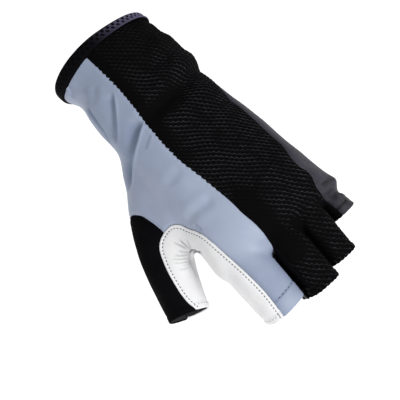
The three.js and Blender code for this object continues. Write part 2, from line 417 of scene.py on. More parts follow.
def bent_finger(*rows: tuple[float, ...]) -> BentSleeve:
    """A finger sleeve whose centre line bends over its knuckle.

    Args:
        rows: Root, bend and hem, each as x, y, z, half width and half height.

    Returns:
        The sleeve, with the curve's blend of the three rows at nine stations.
    """
    root, bend, hem = (np.array(row, float) for row in rows)
    stations = np.linspace(0, 1, 9)
    blended = [(1 - t) ** 2 * root + 2 * t * (1 - t) * bend + t * t * hem for t in stations]
    table = SmoothTable(SLEEVE_COLUMNS, tuple((t, *row) for t, row in zip(stations, blended)))
    return BentSleeve(table, 2.45)


@dataclass(frozen=True)
class Web:
    """The cloth between two fingers' roots, as a blunt tongue that fills the slit.

    Attributes:
        near: The finger on the radial side.
        far: The finger on the ulnar side.
        end: How far it reaches along the glove.
        top: The height of its upper side at its end.
        bottom: The height of its lower side at its end.
    """

    near: Part
    far: Part
    end: float
    top: float
    bottom: float
    start: float = 112.0
    half_width: float = 3.6
    rise: float = 1.5

    def place(self, along: Array, across: Array, up: Array) -> Array:
        """Points of the tongue, with along from 0 inside the hand to 1 at its blunt end."""
        x = self.start + along * (self.end - self.start)
        lines = [SLEEVES[part].centre_line() for part in (self.near, self.far)]
        (near, _, near_width, _), (far, _, far_width, _) = lines
        inner = np.interp(x, near[:, 0], near[:, 1] + near_width)
        outer = np.interp(x, far[:, 0], far[:, 1] - far_width)
        blunt = np.sqrt(1 - (np.clip(along - 0.6, 0, 0.4) / 0.4) ** 2 * 0.99)
        lift = self.rise * (1 - along)
        middle, tall = (self.top + self.bottom) / 2 + lift, (self.top - self.bottom) / 2
        y = (inner + outer) / 2 + self.half_width * across
        return np.stack([x, y, middle + tall * blunt * up], axis=1)


HAND = HandSleeve()
SLEEVES: dict[Part, BentSleeve] = {
    Part.INDEX: bent_finger(
        (91, -20, 2, 11.2, 11.5), (129, -26.4, 6.2, 11.4, 11.3), (156.8, -22.6, -8.6, 10.35, 10.4)
    ),
    Part.MIDDLE: bent_finger(
        (91, -5, 3, 10.5, 11.5), (131, -3.2, 7, 8.4, 10.8), (160.5, -2.5, -7.5, 7.8, 9.8)
    ),
    Part.RING: bent_finger(
        (91, 10, 2, 9.7, 11.0), (129, 14.2, 5, 7.5, 10.2), (154.7, 14.5, -9.6, 7.4, 9.5)
    ),
    Part.LITTLE: bent_finger(
        (91, 22, -2, 9.5, 10.0), (122, 29.5, 0, 6.9, 9.0), (139.8, 31.2, -8.0, 6.5, 8.4)
    ),
    Part.THUMB: BentSleeve(
        SmoothTable(
            SLEEVE_COLUMNS,
            (
                (0, 36.0, -8.0, -4, 12.0, 13.0),
                (1, 62.0, -20.0, -9, 15.0, 14.5),
                (1.4, 70.0, -25.5, -10.8, 14.3, 14.3),
                (2, 82.7, -35.3, -14, 14.0, 14.0),
                (2.5, 93.2, -41.2, -16.5, 13.4, 13.4),
                (3, 103.3, -46.2, -19, 12.0, 12.8),
                (4, 124.4, -54.1, -24, 10.1, 10.8),
            ),
        ),
        2.1,
    ),
}
WEBS = (
    Web(Part.INDEX, Part.MIDDLE, 137.5, 12.0, -7.0),
    Web(Part.MIDDLE, Part.RING, 138.0, 11.8, -8.0),
    Web(Part.RING, Part.LITTLE, 134.0, 9.0, -8.0),
)


# The stretched cloth and leather that fill the corner between the thumb and the hand.
THUMB_WEB = BentSleeve(
    SmoothTable(
        SLEEVE_COLUMNS,
        (
            (0, 62.0, -22.0, -6.0, 7.0, 7.0),
            (1, 76.0, -27.0, -5.0, 10.0, 9.5),
            (2, 88.0, -29.8, -4.6, 11.0, 10.3),
            (3, 97.0, -30.5, -5.8, 10.2, 9.8),
            (4, 105.2, -32.6, -10.5, 5.9, 6.5),
        ),
    ),
    2.0,
    past_hem=1.5,
)


# Where each sewn panel lies


class Panel(Enum):
    """The sewn pieces, by the names of the solids that they stand for."""

    INSERT = "crotch_insert"
    GUSSET_INDEX = "fourchette_index_middle"
    GUSSET_MIDDLE = "fourchette_middle_ring"
    GUSSET_RING = "fourchette_ring_little"
    THUMB = "thumb_panel"
    PALM = "palm_panel"
    BACK = "back_panel"
    SIDE = "side_panel"

    @property
    def number(self) -> int:
        """The number that marks the panel's faces."""
        return list(Panel).index(self)


@dataclass(frozen=True)
class Gusset:
    """The strip between two fingers, bounded on each by a height on its side wall.

    The heights are shares of the finger's half height above and below its centre line.
    """

    panel: Panel
    near: Part
    far: Part
    near_top: float
    far_top: float
    root: float
    bottom: float = -0.55


@dataclass(frozen=True)
class Seams:
    """The seams, as curves seen from above and as a parting of the palm side from the back."""

    ulnar: Line = (
        (61, 45), (61.5, 30), (65, 28.2), (92, 27.6), (108, 28.2), (121, 27.2), (129, 25.2), (139, 26.8),
        (160, 31),
    )
    back: Line = (
        (0, -11.7), (30, -12), (60, -15), (76, -15.4), (92, -13.6), (108, -12.3), (116, -12.1), (122, -11.2),
        (128, -10.7), (134, -10.9), (137, -11.8), (141, -13), (175, -13),
    )
    insert: Line = (
        (175, -28.7), (158, -28.5), (147, -28.5), (138.7, -29.2), (130.2, -29.9), (120, -30.9), (109, -31.7),
        (102.5, -33), (97, -34.3), (93.9, -36.4), (92.6, -39.6), (93.3, -43.4), (95.9, -46.6), (100, -48.8),
        (106.4, -51), (114, -52.6), (120.3, -53.3), (125, -52.9), (132, -51), (140, -50),
    )
    thumb: Line = (
        (64, -95), (64.5, -58), (67, -50), (71, -45.4), (76, -43.2), (81, -42), (95, -41), (112, -45),
        (140, -48),
    )
    parting: SmoothTable = SmoothTable(
        ("x", "radial_y", "radial_z", "ulnar_y", "ulnar_z"),
        (
            (-20, -29, -10, 29, -4), (20, -27, -11, 32, -4), (35, -27.5, -11, 33, 0), (48, -28.5, -12, 31, 5),
            (61, -30, -14, 28, 9.6), (80, -34, -12, 26.8, 11), (90, -35, -9, 26.8, 11.2),
            (96, -36, -4, 26.8, 11.2), (120, -37, -3, 26, 9.8), (128, -35, -1, 25, 2.5),
            (134, -34, 0, 25, -3), (142, -33, -0.5, 27, -5), (152, -33, -4.5, 27, -8),
            (175, -33, -12, 27, -14),
        ),
    )
    gussets: tuple[Gusset, ...] = (
        Gusset(Panel.GUSSET_INDEX, Part.INDEX, Part.MIDDLE, 0.12, 0.83, 136.5),
        Gusset(Panel.GUSSET_MIDDLE, Part.MIDDLE, Part.RING, 0.12, 0.8, 134.5),
        Gusset(Panel.GUSSET_RING, Part.RING, Part.LITTLE, 0.12, 1.1, 130.5),
    )

    def shares(self) -> list[tuple[Panel, Callable[[Array], Array]]]:
        """What gives the depth inside each panel. Each takes its share before those that follow."""
        gussets = [(gusset.panel, partial(self.in_gusset, gusset)) for gusset in self.gussets]
        rest = [(Panel.THUMB, self.in_thumb), (Panel.PALM, self.in_palm), (Panel.BACK, self.in_back)]
        return [(Panel.INSERT, self.in_insert), *gussets, *rest]

    def in_insert(self, places: Array) -> Array:
        """Depth inside the light insert, seen from above."""
        return inside_outline(places, self.insert, (175, -53))

    def in_thumb(self, places: Array) -> Array:
        """Depth inside the thumb panel, seen from above."""
        return inside_outline(places, self.thumb, (140, -95))

    def in_back(self, places: Array) -> Array:
        """How far on the ulnar side of the seam along the back, whose edge follows the knit's rows."""
        curve = spline(self.back)
        x, y = places[:, 0], places[:, 1]
        rows = np.cos(2 * math.pi * KNIT.turned(x, y)[1] / KNIT.row_pitch)
        wave = KNIT.edge_wave * taper(x, 9, 17, 92, 110) * rows
        return y - np.interp(x, curve[:, 0], curve[:, 1]) + wave

    def in_palm(self, places: Array) -> Array:
        """Positive on the palm side and on the leather that wraps round the ulnar edge."""
        at = self.parting.at(HAND.station(places))
        share = np.clip((places[:, 1] - at["radial_y"]) / (at["ulnar_y"] - at["radial_y"]), 0, 1)
        below = at["radial_z"] + share * (at["ulnar_z"] - at["radial_z"]) - places[:, 2]
        return np.maximum(below, self.in_wrap(places))

    def in_wrap(self, places: Array) -> Array:
        """Depth inside the leather that wraps round the ulnar edge, seen from above."""
        return inside_outline(places, self.ulnar, (160, 90), (60, 90))

    def in_gusset(self, gusset: Gusset, places: Array) -> Array:
        """Depth inside a gusset by height. It is empty away from the two fingers."""
        limits = []
        x = places[:, 0]
        for part in (gusset.near, gusset.far):
            centres, _, width, height = SLEEVES[part].centre_line()
            columns = (centres[:, 1], centres[:, 2], width, height)
            limits.append([np.interp(x, centres[:, 0], column) for column in columns])
        (near_y, near_z, near_w, near_h), (far_y, far_z, far_w, far_h) = limits
        slit = (near_y + near_w + far_y - far_w) / 2
        share = ease(places[:, 1], slit - 1.2, slit + 1.2)
        mix = lambda near, far: near + share * (far - near)
        top = mix(near_z + gusset.near_top * near_h, far_z + gusset.far_top * far_h)
        bottom = mix(near_z + gusset.bottom * near_h, far_z + gusset.bottom * far_h)
        depth = np.minimum(np.minimum(top - places[:, 2], places[:, 2] - bottom), x - gusset.root)
        if gusset.far is Part.LITTLE:
            depth = np.minimum(depth, -self.in_wrap(places))
        outside = (x < gusset.root - 6) | (places[:, 1] < near_y) | (places[:, 1] > far_y)
        return np.where(outside, np.nan, depth)


@dataclass(frozen=True)
class Knit:
    """The open knit of the back: wavy rows that swing towards each other and apart.

    Attributes:
        row_angle: The direction of the rows from the length of the hand, in degrees.
        row_pitch: The distance from one row to the next.
        wave_pitch: The length of one wave along a row.
        swing: How far a row swings to each side, as a share of the row pitch.
        ridge: Half the width of a row.
        depth: How far the holes lie below the crests of the loops.
        trough: The height of a row between its crests.
        edge_wave: How far the rows' ends stand out along a seam or a hem.
        calm_paths: Where the knit is stretched flat over the knuckles, with painted shade dimming its glint.
        calm_width: Half the width of each of those places.
        most_calm: How flat and shaded it is there.
    """

    row_angle: float = 47.5
    row_pitch: float = 2.05
    wave_pitch: float = 2.4
    swing: float = 0.11
    ridge: float = 0.44
    depth: float = 0.42
    trough: float = 0.8
    edge_wave: float = 0.28
    calm_paths: tuple[Line, ...] = (
        ((112, -7), (122, -7.5), (132, -7), (143, -5)),
        ((134, 5.5), (139, 6), (145.3, 7.3), (154, 8)),
    )
    calm_width: tuple[float, ...] = (6.0, 2.6)
    most_calm: float = 0.7

    def turned(self, u: Array, v: Array) -> tuple[Array, Array]:
        """The distances along and across the rows of a point u along the hand and v across it."""
        turn = math.radians(self.row_angle)
        return u * math.cos(turn) + v * math.sin(turn), v * math.cos(turn) - u * math.sin(turn)

    def flat_and_shaded(self, places: Array, facing: Array) -> Array:
        """How flat it lies and how far painted shade dims its glint: most where it is stretched over a
        knuckle and in a fold's valley.
        """
        x = places[:, 0]
        # Flatter, with its painted glint dimmed, by the wrist and at the fingers.
        flat_and_shaded = 0.2 * (1 - ease(x, 18, 40)) + 0.1 * ease(x, 126, 138)
        # Painted shade along the radial seam, where the knit faces away from the light.
        by_seam = 0.55 * (1 - ease(SEAMS.in_back(places), 1, 9)) * (1 - ease(x, 50, 95))
        flat_and_shaded = np.maximum(flat_and_shaded, by_seam)
        for path, width in zip(self.calm_paths, self.calm_width):
            gap, _ = distance_to_path(places[:, :2], spline(path))
            flat_and_shaded = np.maximum(flat_and_shaded, self.most_calm * bell(gap, width))
        # Painted shade in the valley of the first fold.
        gap, along = distance_to_path(places[:, :2], spline(FOLDS[0].line))
        sunk = bell(gap, 2.0 + 2.8 * along) * ease(along, 0.3, 0.75) * ease(facing[:, 2], 0, 0.4)
        return np.maximum(flat_and_shaded, self.most_calm * sunk)

    def loft(self, u: Array, v: Array) -> Array:
        """How high the knit stands at a point, from 0 in a hole to 1 on the crest of a loop."""
        along, across = self.turned(u, v)
        place = across / self.row_pitch
        place = place + 0.13 * np.sin(along / 3.1 + place / 2.3) + 0.1 * np.sin(along / 5.7 - place / 3.7)
        phase = 2 * math.pi * (along + 0.5 * np.sin(place / 1.9)) / self.wave_pitch
        nearest = np.round(place)
        height = np.zeros(len(place))
        for step in (-1, 0, 1):
            row = nearest + step
            wave = np.where(row % 2 == 0, 1, -1) * np.cos(phase)
            gap = (place - row - self.swing * wave) * self.row_pitch
            crest = self.trough + (1 - self.trough) * (0.5 + 0.5 * wave)
            height = np.maximum(height, crest * bell(gap, self.ridge))
        return height


KNIT = Knit()
SEAMS = Seams()


# Working on skins


def coordinates(bm: Skin) -> Array:
    """The places of a mesh's vertices, one in each row."""
    bm.verts.ensure_lookup_table()
    return np.array([vertex.co[:] for vertex in bm.verts])


def normals(bm: Skin) -> Array:
    """The normals of a mesh's vertices, one in each row."""
    bm.normal_update()
    return np.array([vertex.normal[:] for vertex in bm.verts])


def move_to(bm: Skin, places: Array) -> None:
    """Puts a mesh's vertices at places."""
    for vertex, place in zip(bm.verts, places):
        vertex.co = place


def smooth(bm: Skin, verts: list[Vertex], rounds: int) -> None:
    """Moves vertices halfway to the middle of their neighbours, a number of times."""
    axes = {f"use_axis_{axis}": True for axis in "xyz"}
    for _ in range(rounds):
        bmesh.ops.smooth_vert(bm, verts=verts, factor=0.5, **axes)


def placed(name: str, data: bpy.types.ID) -> bpy.types.Object:
    """Makes an object of data and puts it in the scene."""
    made = bpy.data.objects.new(name, data)
    bpy.context.scene.collection.objects.link(made)
    return made


def stored(name: str, bm: Skin) -> bpy.types.Mesh:
    """Keeps a mesh that was worked on under a name."""
    mesh = bpy.data.meshes.new(name)
    bm.to_mesh(mesh)
    bm.free()
    return mesh


def edge_ends(bm: Skin) -> Array:
    """The numbers of the two vertices of each edge."""
    bm.verts.index_update()
    return np.array([(edge.verts[0].index, edge.verts[1].index) for edge in bm.edges])


def cut_along(bm: Skin, values: Array) -> None:
    """Cuts a skin where a value that is known at its vertices passes through nought.

    Args:
        bm: The skin, which gets an edge all along the cut.
        values: One value for each vertex, not a number where no cut is wanted.
    """
    snap = 0.15
    bm.verts.ensure_lookup_table()
    bm.edges.ensure_lookup_table()
    ends = edge_ends(bm)
    level = np.array(values, float)
    with np.errstate(invalid="ignore"):
        crossed = np.flatnonzero(level[ends[:, 0]] * level[ends[:, 1]] < 0)
    on_line = [bm.verts[int(number)] for number in np.flatnonzero(level == 0)]
    cuts = []
    for number in crossed:
        a, b = ends[number]
        cuts.append((bm.edges[number], bm.verts[a], bm.verts[b], level[a] / (level[a] - level[b])))
    moved = {}
    for edge, start, end, share in cuts:
        near = start if share < snap else end if share > 1 - snap else None
        if near is not None and near not in moved:
            moved[near] = start.co.lerp(end.co, share)
    for vertex, place in moved.items():
        vertex.co = place
        on_line.append(vertex)
    for edge, start, end, share in cuts:
        if start not in moved and end not in moved:
            on_line.append(bmesh.utils.edge_split(edge, start, share)[1])
    if on_line:
        bmesh.ops.connect_verts(bm, verts=on_line, check_degenerate=True)


def centres_of_faces(bm: Skin) -> Array:
    """The middles of a mesh's faces, one in each row."""
    bm.faces.ensure_lookup_table()
    return np.array([face.calc_center_median()[:] for face in bm.faces])


def chains(pairs: Iterable[tuple[int, int]]) -> list[list[int]]:
    """Joins pairs of neighbours into runs.

    Args:
        pairs: Numbers that lie next to each other.

    Returns:
        Each run as its numbers in order. A closed run ends where it starts.
    """
    beside = defaultdict(list)
    for a, b in pairs:
        beside[a].append(b)
        beside[b].append(a)
    runs = []
    for start in sorted(beside, key=lambda number: len(beside[number]) == 2):
        while beside[start]:
            run = [start]
            while beside[run[-1]]:
                step = beside[run[-1]].pop(0)
                beside[step].remove(run[-1])
                run.append(step)
            runs.append(run)
    return runs


@dataclass
class Route:
    """A line that lies on a skin, with the skin's normal at each point."""

    points: Array
    normals: Array

    def length(self) -> float:
        """The route's length in millimetres."""
        return float(np.linalg.norm(np.diff(self.points, axis=0), axis=1).sum())

    def spaced(self, pitch: float) -> "Route":
        """The same route with evenly spaced points."""
        step = np.linalg.norm(np.diff(self.points, axis=0), axis=1)
        reach = np.concatenate([[0], np.cumsum(step)])
        count = max(int(round(reach[-1] / pitch)), 1)
        at = np.linspace(0, reach[-1], count + 1)
        points = np.stack([np.interp(at, reach, self.points[:, k]) for k in range(3)], axis=1)
        facing = np.stack([np.interp(at, reach, self.normals[:, k]) for k in range(3)], axis=1)
        facing /= np.maximum(np.linalg.norm(facing, axis=1, keepdims=True), 1e-9)
        return Route(points, facing)

    def smoothed(self, rounds: int = 6) -> "Route":
        """The same route with its kinks eased out, its ends kept."""
        points, facing = self.points.copy(), self.normals.copy()
        for _ in range(rounds):
            for values in (points, facing):
                values[1:-1] = 0.25 * values[:-2] + 0.5 * values[1:-1] + 0.25 * values[2:]
        return Route(points, facing)


def contour(bm: Skin, values: Array, level: float, shortest: float = 4.0) -> list[Route]:
    """Traces where a value that is known at a skin's vertices passes through a level.

    Args:
        bm: The skin, with its normals up to date.
        values: One value for each vertex, not a number where no line is wanted.
        level: The value to trace.
        shortest: Runs shorter than this are left out.

    Returns:
        The routes.
    """
    bm.edges.index_update()
    bm.edges.ensure_lookup_table()
    above = values - level
    ends = edge_ends(bm)
    first, second = above[ends[:, 0]], above[ends[:, 1]]
    with np.errstate(invalid="ignore"):
        crossed = np.flatnonzero(first * second < 0)
    crossing = {}
    for number in crossed:
        start, end = bm.edges[number].verts
        share = first[number] / (first[number] - second[number])
        crossing[int(number)] = (start.co.lerp(end.co, share), start.normal.lerp(end.normal, share))
    pairs = []
    for face in dict.fromkeys(face for number in crossing for face in bm.edges[number].link_faces):
        hit = [edge.index for edge in face.edges if edge.index in crossing]
        if len(hit) == 2:
            pairs.append((hit[0], hit[1]))
    routes = []
    for run in chains(pairs):
        route = Route(*(np.array([crossing[number][value][:] for number in run]) for value in (0, 1)))
        if route.length() >= shortest:
            routes.append(route)
    return routes


@dataclass(frozen=True)
class Fold:
    """A crease or a swell in the cloth, along a line seen from above.

    Attributes:
        line: The points that it runs through.
        width: Half its width, in millimetres.
        depth: How deep it lies. A swell has a negative depth.
        on_back: Whether it marks the back of the hand or the palm side.
    """

    line: Line
    width: float
    depth: float
    on_back: bool = True

    def depths(self, places: Array, facing: Array) -> Array:
        """How far the fold sinks each place, tapering off at both ends."""
        gap, along = distance_to_path(places[:, :2], spline(self.line, 5))
        upward = facing[:, 2] if self.on_back else -facing[:, 2]
        shape = dent(gap, self.width, 0.28) * taper(along, -0.05, 0.22, 0.78, 1.05)
        return self.depth * shape * ease(upward, -0.35, 0.35)


FOLDS = (
    Fold(((39, 37), (42.5, 27), (46, 17), (48.2, 8), (49.2, -4), (51.3, -11.8), (52.7, -16)), 4.4, 1.7),
    Fold(((34, 34), (36.5, 22), (39, 10), (41.5, 0)), 4.8, -0.7),
    Fold(((53, 33), (56, 20), (59, 6), (62, -6)), 5.0, -0.8),
    Fold(((41, 40), (42, 31), (44.5, 22)), 1.8, 0.5),
    Fold(((17.7, -18.4), (20.1, -20.3), (22.1, -22), (24.7, -23.2)), 1.8, 0.5),
    Fold(((14, -24.5), (16.1, -24.9), (19.6, -25.8)), 1.6, 0.6),
    Fold(((80.3, -17.7), (80, -21.2), (80.6, -24.3), (82.3, -26.8)), 2.6, 0.5),
    Fold(((101.4, -17), (100.8, -20.9), (99.9, -25.3), (99.3, -29.2), (98.8, -33)), 2.5, 0.8),
    Fold(((125, 26), (126, 32), (126.5, 39)), 5.8, -1.5),
    Fold(((133.8, 27), (132.9, 31), (132.3, 35), (132.1, 39)), 2.2, 2.6),
    Fold(((137.0, 32), (137.4, 38)), 2.8, 1.3),
    Fold(((14, 29), (15.5, 22), (17, 14)), 2.6, 0.9),
    Fold(((9.5, 29), (11, 22), (12, 15)), 2.2, -0.5),
    Fold(((20, 31), (21.5, 24), (24, 15)), 3.0, -0.6),
    Fold(((28, 33), (29.5, 24), (31, 13), (33, 4)), 3.0, 0.7),
    Fold(((65, 30), (67.5, 22), (69, 12)), 3.6, 0.45),
    Fold(((84, -50), (88, -43), (93, -37)), 2.6, 0.5, False),
    Fold(((60, -20), (70, -8), (76, 8), (78, 22)), 4.5, 1.3, False),
    Fold(((95, -28), (99, -12), (101, 6), (100, 22)), 4.0, 1.1, False),
    Fold(((30, -16), (33, 0), (32, 16)), 4.5, 0.8, False),
    Fold(((118, -28), (120, -14), (121, 4), (119, 22)), 3.0, 0.9, False),
)


@dataclass(frozen=True)
class Crease:
    """A sharp crease in stretched cloth: a crest that falls off steeply on one side.

    Attributes:
        line: The crest's points. The steep side lies to the left, seen from outside along the line.
        drop: How deep the foot of the steep side lies.
        steep: The width of the steep side.
        reach: How far the hollow takes to run out.
        tone: How dark the painted shade beside the crest is.
        spread: How far that painted shade spreads.
        lip: How far the crest stands proud.
        lip_width: Half the width of the crest.
        fine_width: How far from the crest the mesh is made finer.
    """

    line: Line
    drop: float
    steep: float
    reach: float
    tone: float
    spread: float
    lip: float = 0.35
    lip_width: float = 1.1
    fine_width: float = 1.9

    def near(self, places: Array, facing: Array) -> Array:
        """Which places need a finer mesh for the crest."""
        return self.measure(places, facing)[0] < self.fine_width

    def measure(self, places: Array, facing: Array) -> tuple[Array, Array, Array]:
        """The distance to the crest along the skin, what lies to its left, and a taper to its ends."""
        offset, heading, along = offset_from_path(places, spline(self.line, 5))
        height = dot(offset, facing)
        across = np.linalg.norm(offset - height[:, None] * facing, axis=1)
        far_below, out_of_reach = 5, 9
        gap = across + out_of_reach * (np.abs(height) > far_below)
        left = dot(np.cross(facing, heading), offset) > 0
        return gap, left, taper(along, -0.02, 0.2, 0.85, 1.02)

    def depths(self, places: Array, facing: Array) -> Array:
        """How far the crease sinks each place."""
        gap, left, ends = self.measure(places, facing)
        hollow = (1 - bell(gap, self.steep)) * bell(gap, self.reach)
        crest = self.lip * bell(gap, self.lip_width)
        return (self.drop * hollow * left - crest) * ends * (gap < 4 * self.reach)

    def shadow(self, places: Array, facing: Array) -> Array:
        """The painted shade beside the crest: how dark the cloth is made there."""
        gap, left, ends = self.measure(places, facing)
        shade = 0.68 * bell(gap, self.spread) + 0.32 * bell(gap, 3.2 * self.spread)
        return self.tone * left * shade * (1 - bell(gap, 0.35)) * ends


# Over the thumb's root at the wrist and the crotch, at the cuff, and in the leather by the little finger.
CREASES = (
    Crease(
        (
            (44.5, -28.3, -2.5), (41.9, -27.9, 0.4), (39.8, -27.9, 2.9), (37.5, -27.8, 5.2),
            (34.7, -27.5, 6.6), (30.4, -26.9, 7.5), (25.9, -26.3, 8.1), (22.9, -25.9, 8.5),
            (19.5, -25.2, 7.9),
        ),
        0.9, 1.2, 3.4, 1.0, 4.2,
    ),
    Crease(
        (
            (46.0, -28.8, 4.4), (44.9, -27.4, 8.3), (42.8, -25.4, 11.2), (39.8, -22.8, 13.7),
            (36.3, -20.1, 15.5), (32.5, -17.3, 16.9), (28.4, -14.4, 17.8),
        ),
        2.0, 1.4, 4.6, 0.85, 1.7,
    ),
    Crease(
        (
            (65.5, -38.0, -3.5), (62.4, -34.3, -0.2), (59.8, -31.0, 3.2), (58.2, -28.6, 8.3),
            (56.3, -25.6, 12.1), (54.7, -22.7, 14.1), (52.1, -18.3, 16.2), (50.6, -15.2, 16.9),
            (49.4, -13.2, 17.3),
        ),
        4.0, 2.6, 6.0, 0.85, 4.4, 0.5,
    ),
    Crease(
        ((61.4, -22.4, 14.2), (60.0, -20.0, 15.2), (58.7, -17.6, 16.2), (57.4, -15.4, 16.8)),
        0.6, 1.6, 2.6, 0.16, 1.8, 0.15,
    ),
    Crease(((107.8, -29.6, 12.7), (105.5, -30.0, 12.3), (102.7, -30.3, 12.0)), 0.9, 1.3, 2.6, 0.35, 1.6, 0.1),
    Crease(
        ((4.9, -25.4, 7.7), (6.2, -26.4, 6.4), (7.7, -26.8, 5.1), (9.8, -27.3, 0.9)),
        1.0, 0.8, 2.0, 0.3, 1.0, 0.4,
    ),
    Crease(
        (
            (126.7, 36.8, 2.6), (126.7, 34.9, 5.1), (126.8, 32.6, 6.8), (126.9, 30.4, 8.2),
            (126.9, 28.8, 8.8), (127.4, 26.8, 8.7),
        ),
        1.1, 0.8, 2.4, 1.0, 1.6, 0.3,
    ),
    Crease(((131.8, 37.0, -1.4), (132.2, 34.5, -0.1), (132.7, 32.2, 0.8)), 0.5, 0.8, 1.6, 0.8, 1.2, 0.1),
)


def uneven(places: Array, size: float, height: float, seed: int) -> Array:
    """Soft random swelling, the same at every run.

    Args:
        places: Where it is read.
        size: The width of one swell, in millimetres.
        height: Its greatest height.
        seed: Picks one pattern of many.

    Returns:
        The height at each place.
    """
    waves = 14
    random = np.random.default_rng(seed)
    total = np.zeros(len(places))
    for _ in range(waves):
        direction = random.normal(size=3)
        direction /= np.linalg.norm(direction)
        turn = 2 * math.pi / (size * random.uniform(0.6, 1.6))
        total += np.sin(places @ direction * turn + random.uniform(0, 2 * math.pi))
    return height * total / math.sqrt(waves)


@dataclass
class GloveForm:
    """The glove's whole outer face as one skin, trimmed at its hems and cut along its seams."""

    voxel: float = 0.74
    hem_zone: float = 17.0
    hem_reach: float = 3.0
    slit: float = 0.35
    slit_fill: float = 1.3
    slit_start: float = 126.0
    slit_ease: tuple[float, float] = (131.0, 139.0)
    junctions: Line = ((0.30, 10), (0.16, 20), (0.07, 14))
    web_sides: int = 24
    web_steps: int = 40
    web_reach: float = 1.75
    web_rounds: int = 60
    hollows: Line = (
        (103.0, -36.0, 0.0, 13.0, 180), (132.0, -19.0, 10.5, 9.0, 80), (136.5, -13.0, 9.5, 6.0, 40)
    )
    skin: Skin = field(default_factory=bmesh.new)

    def build(self) -> Skin:
        """Makes the skin.

        Returns:
            The skin, with each face's panel in the layer "panel" and the outward directions of
            the smooth form in the layer "facing".
        """
        self.join_sleeves()
        self.ease_junctions()
        self.fill_hollows()
        self.close_slits()
        self.press_folds()
        self.press_creases()
        self.trim_hems()
        self.cut_seams()
        self.mark_panels()
        LOG.info("skin: %d faces", len(self.skin.faces))
        return self.skin

    def join_sleeves(self) -> None:
        """Makes each sleeve as a closed tube and fuses them all into one even mesh."""
        gathered = bmesh.new()
        first = HAND.sections.rows[0][0]
        hand = lambda along, across, up: HAND.place(first + along * (HAND.end - first), across, up)
        self.add_tube(gathered, HAND.sides, HAND.steps, hand)
        for sleeve in SLEEVES.values():
            self.add_tube(gathered, sleeve.sides, sleeve.steps, sleeve.place)
        for web in (THUMB_WEB, *WEBS):
            self.add_tube(gathered, self.web_sides, self.web_steps, web.place)
        joined = stored("sleeves", gathered)
        holder = placed("sleeves", joined)
        voxels = holder.modifiers.new("voxels", "REMESH")
        voxels.mode = "VOXEL"
        voxels.voxel_size = self.voxel
        depsgraph = bpy.context.evaluated_depsgraph_get()
        evaluated = holder.evaluated_get(depsgraph)
        self.skin.from_mesh(evaluated.to_mesh())
        evaluated.to_mesh_clear()
        bpy.data.objects.remove(holder)
        bpy.data.meshes.remove(joined)

    @staticmethod
    def add_tube(target: Skin, sides: int, steps: int, place: Callable[..., Array]) -> None:
        """Wraps a grid round into a closed tube.

        Args:
            target: The mesh that the tube is added to.
            sides: Faces round the tube.
            steps: Faces along it.
            place: Gives the points from along (0 to 1) and the two unit disc coordinates.
        """
        tube = bmesh.new()
        bmesh.ops.create_grid(tube, x_segments=sides, y_segments=steps, size=1)
        flat = coordinates(tube)
        angle = (flat[:, 0] + 1) * math.pi
        move_to(tube, place((flat[:, 1] + 1) / 2, np.cos(angle), np.sin(angle)))
        bmesh.ops.remove_doubles(tube, verts=tube.verts, dist=1e-3)
        bmesh.ops.holes_fill(tube, edges=[edge for edge in tube.edges if edge.is_boundary], sides=0)
        bmesh.ops.recalc_face_normals(tube, faces=tube.faces)
        copied = stored("tube", tube)
        target.from_mesh(copied)
        bpy.data.meshes.remove(copied)

    def ease_junctions(self) -> None:
        """Rounds the places where one sleeve grows out of another, then all of the skin a little."""
        places = coordinates(self.skin)
        radii = np.sort(sleeve_radii(places), axis=1)
        overlap = radii[:, 1] - radii[:, 0]
        verts = list(self.skin.verts)
        web = THUMB_WEB.find(places)
        webbed = (web.radius < self.web_reach) & (web.past_hem < 5)
        stages = [(overlap < limit, rounds) for limit, rounds in self.junctions]
        for chosen, rounds in [*stages, (webbed, self.web_rounds)]:
            smooth(self.skin, [verts[number] for number in np.flatnonzero(chosen)], rounds)
        smooth(self.skin, verts, 4)

    def fill_hollows(self) -> None:
        """Draws the cloth tight over the hollows at the crotch and the first fork, outwards only."""
        verts = list(self.skin.verts)
        for x, y, z, radius, rounds in self.hollows:
            places = coordinates(self.skin)
            gap = np.linalg.norm(places - (x, y, z), axis=1)
            found = np.flatnonzero(gap < radius)
            chosen = [verts[number] for number in found]
            beside = [[edge.other_vert(vertex).index for edge in vertex.link_edges] for vertex in chosen]
            count = np.array([len(near) for near in beside])[:, None]
            most = count.max()
            near = np.array([near + [number] * (most - len(near)) for near, number in zip(beside, found)])
            weight = 1 - ease(gap[found], 0.55 * radius, radius)[:, None]
            for turn in range(rounds):
                if turn % 20 == 0:
                    move_to(self.skin, places)
                    facing = normals(self.skin)[found]
                here = places[found]
                middle = (places[near].sum(axis=1) - here * (most - count)) / count
                step = middle - here
                outward = dot(step, facing)[:, None]
                places[found] = here + 0.5 * weight * (step + facing * (np.maximum(outward, 0) - outward))
            move_to(self.skin, places)

    def close_slits(self) -> None:
        """Brings the facing sides of neighbouring fingers nearly together."""
        places, facing = coordinates(self.skin), normals(self.skin)
        shift = np.zeros(len(places))
        for near, far in zip(FINGERS, FINGERS[1:]):
            lines = [SLEEVES[part].centre_line() for part in (near, far)]
            sides = [np.interp(places[:, 0], line[0][:, 0], line[0][:, 1]) for line in lines]
            between = (places[:, 1] > sides[0]) & (places[:, 1] < sides[1])
            found = np.flatnonzero(between & (places[:, 0] > self.slit_start))
            radii = np.sort([SLEEVES[part].find(places[found]).radius for part in (near, far)], axis=0)
            gap = (radii[1] - radii[0]) * lines[0][2][-1]
            weight = ease(places[found, 0], *self.slit_ease) * np.abs(facing[found, 1]) ** 1.5
            shift[found] = weight * np.clip((gap - self.slit) / 2, 0, self.slit_fill)
        move_to(self.skin, places + facing * shift[:, None])

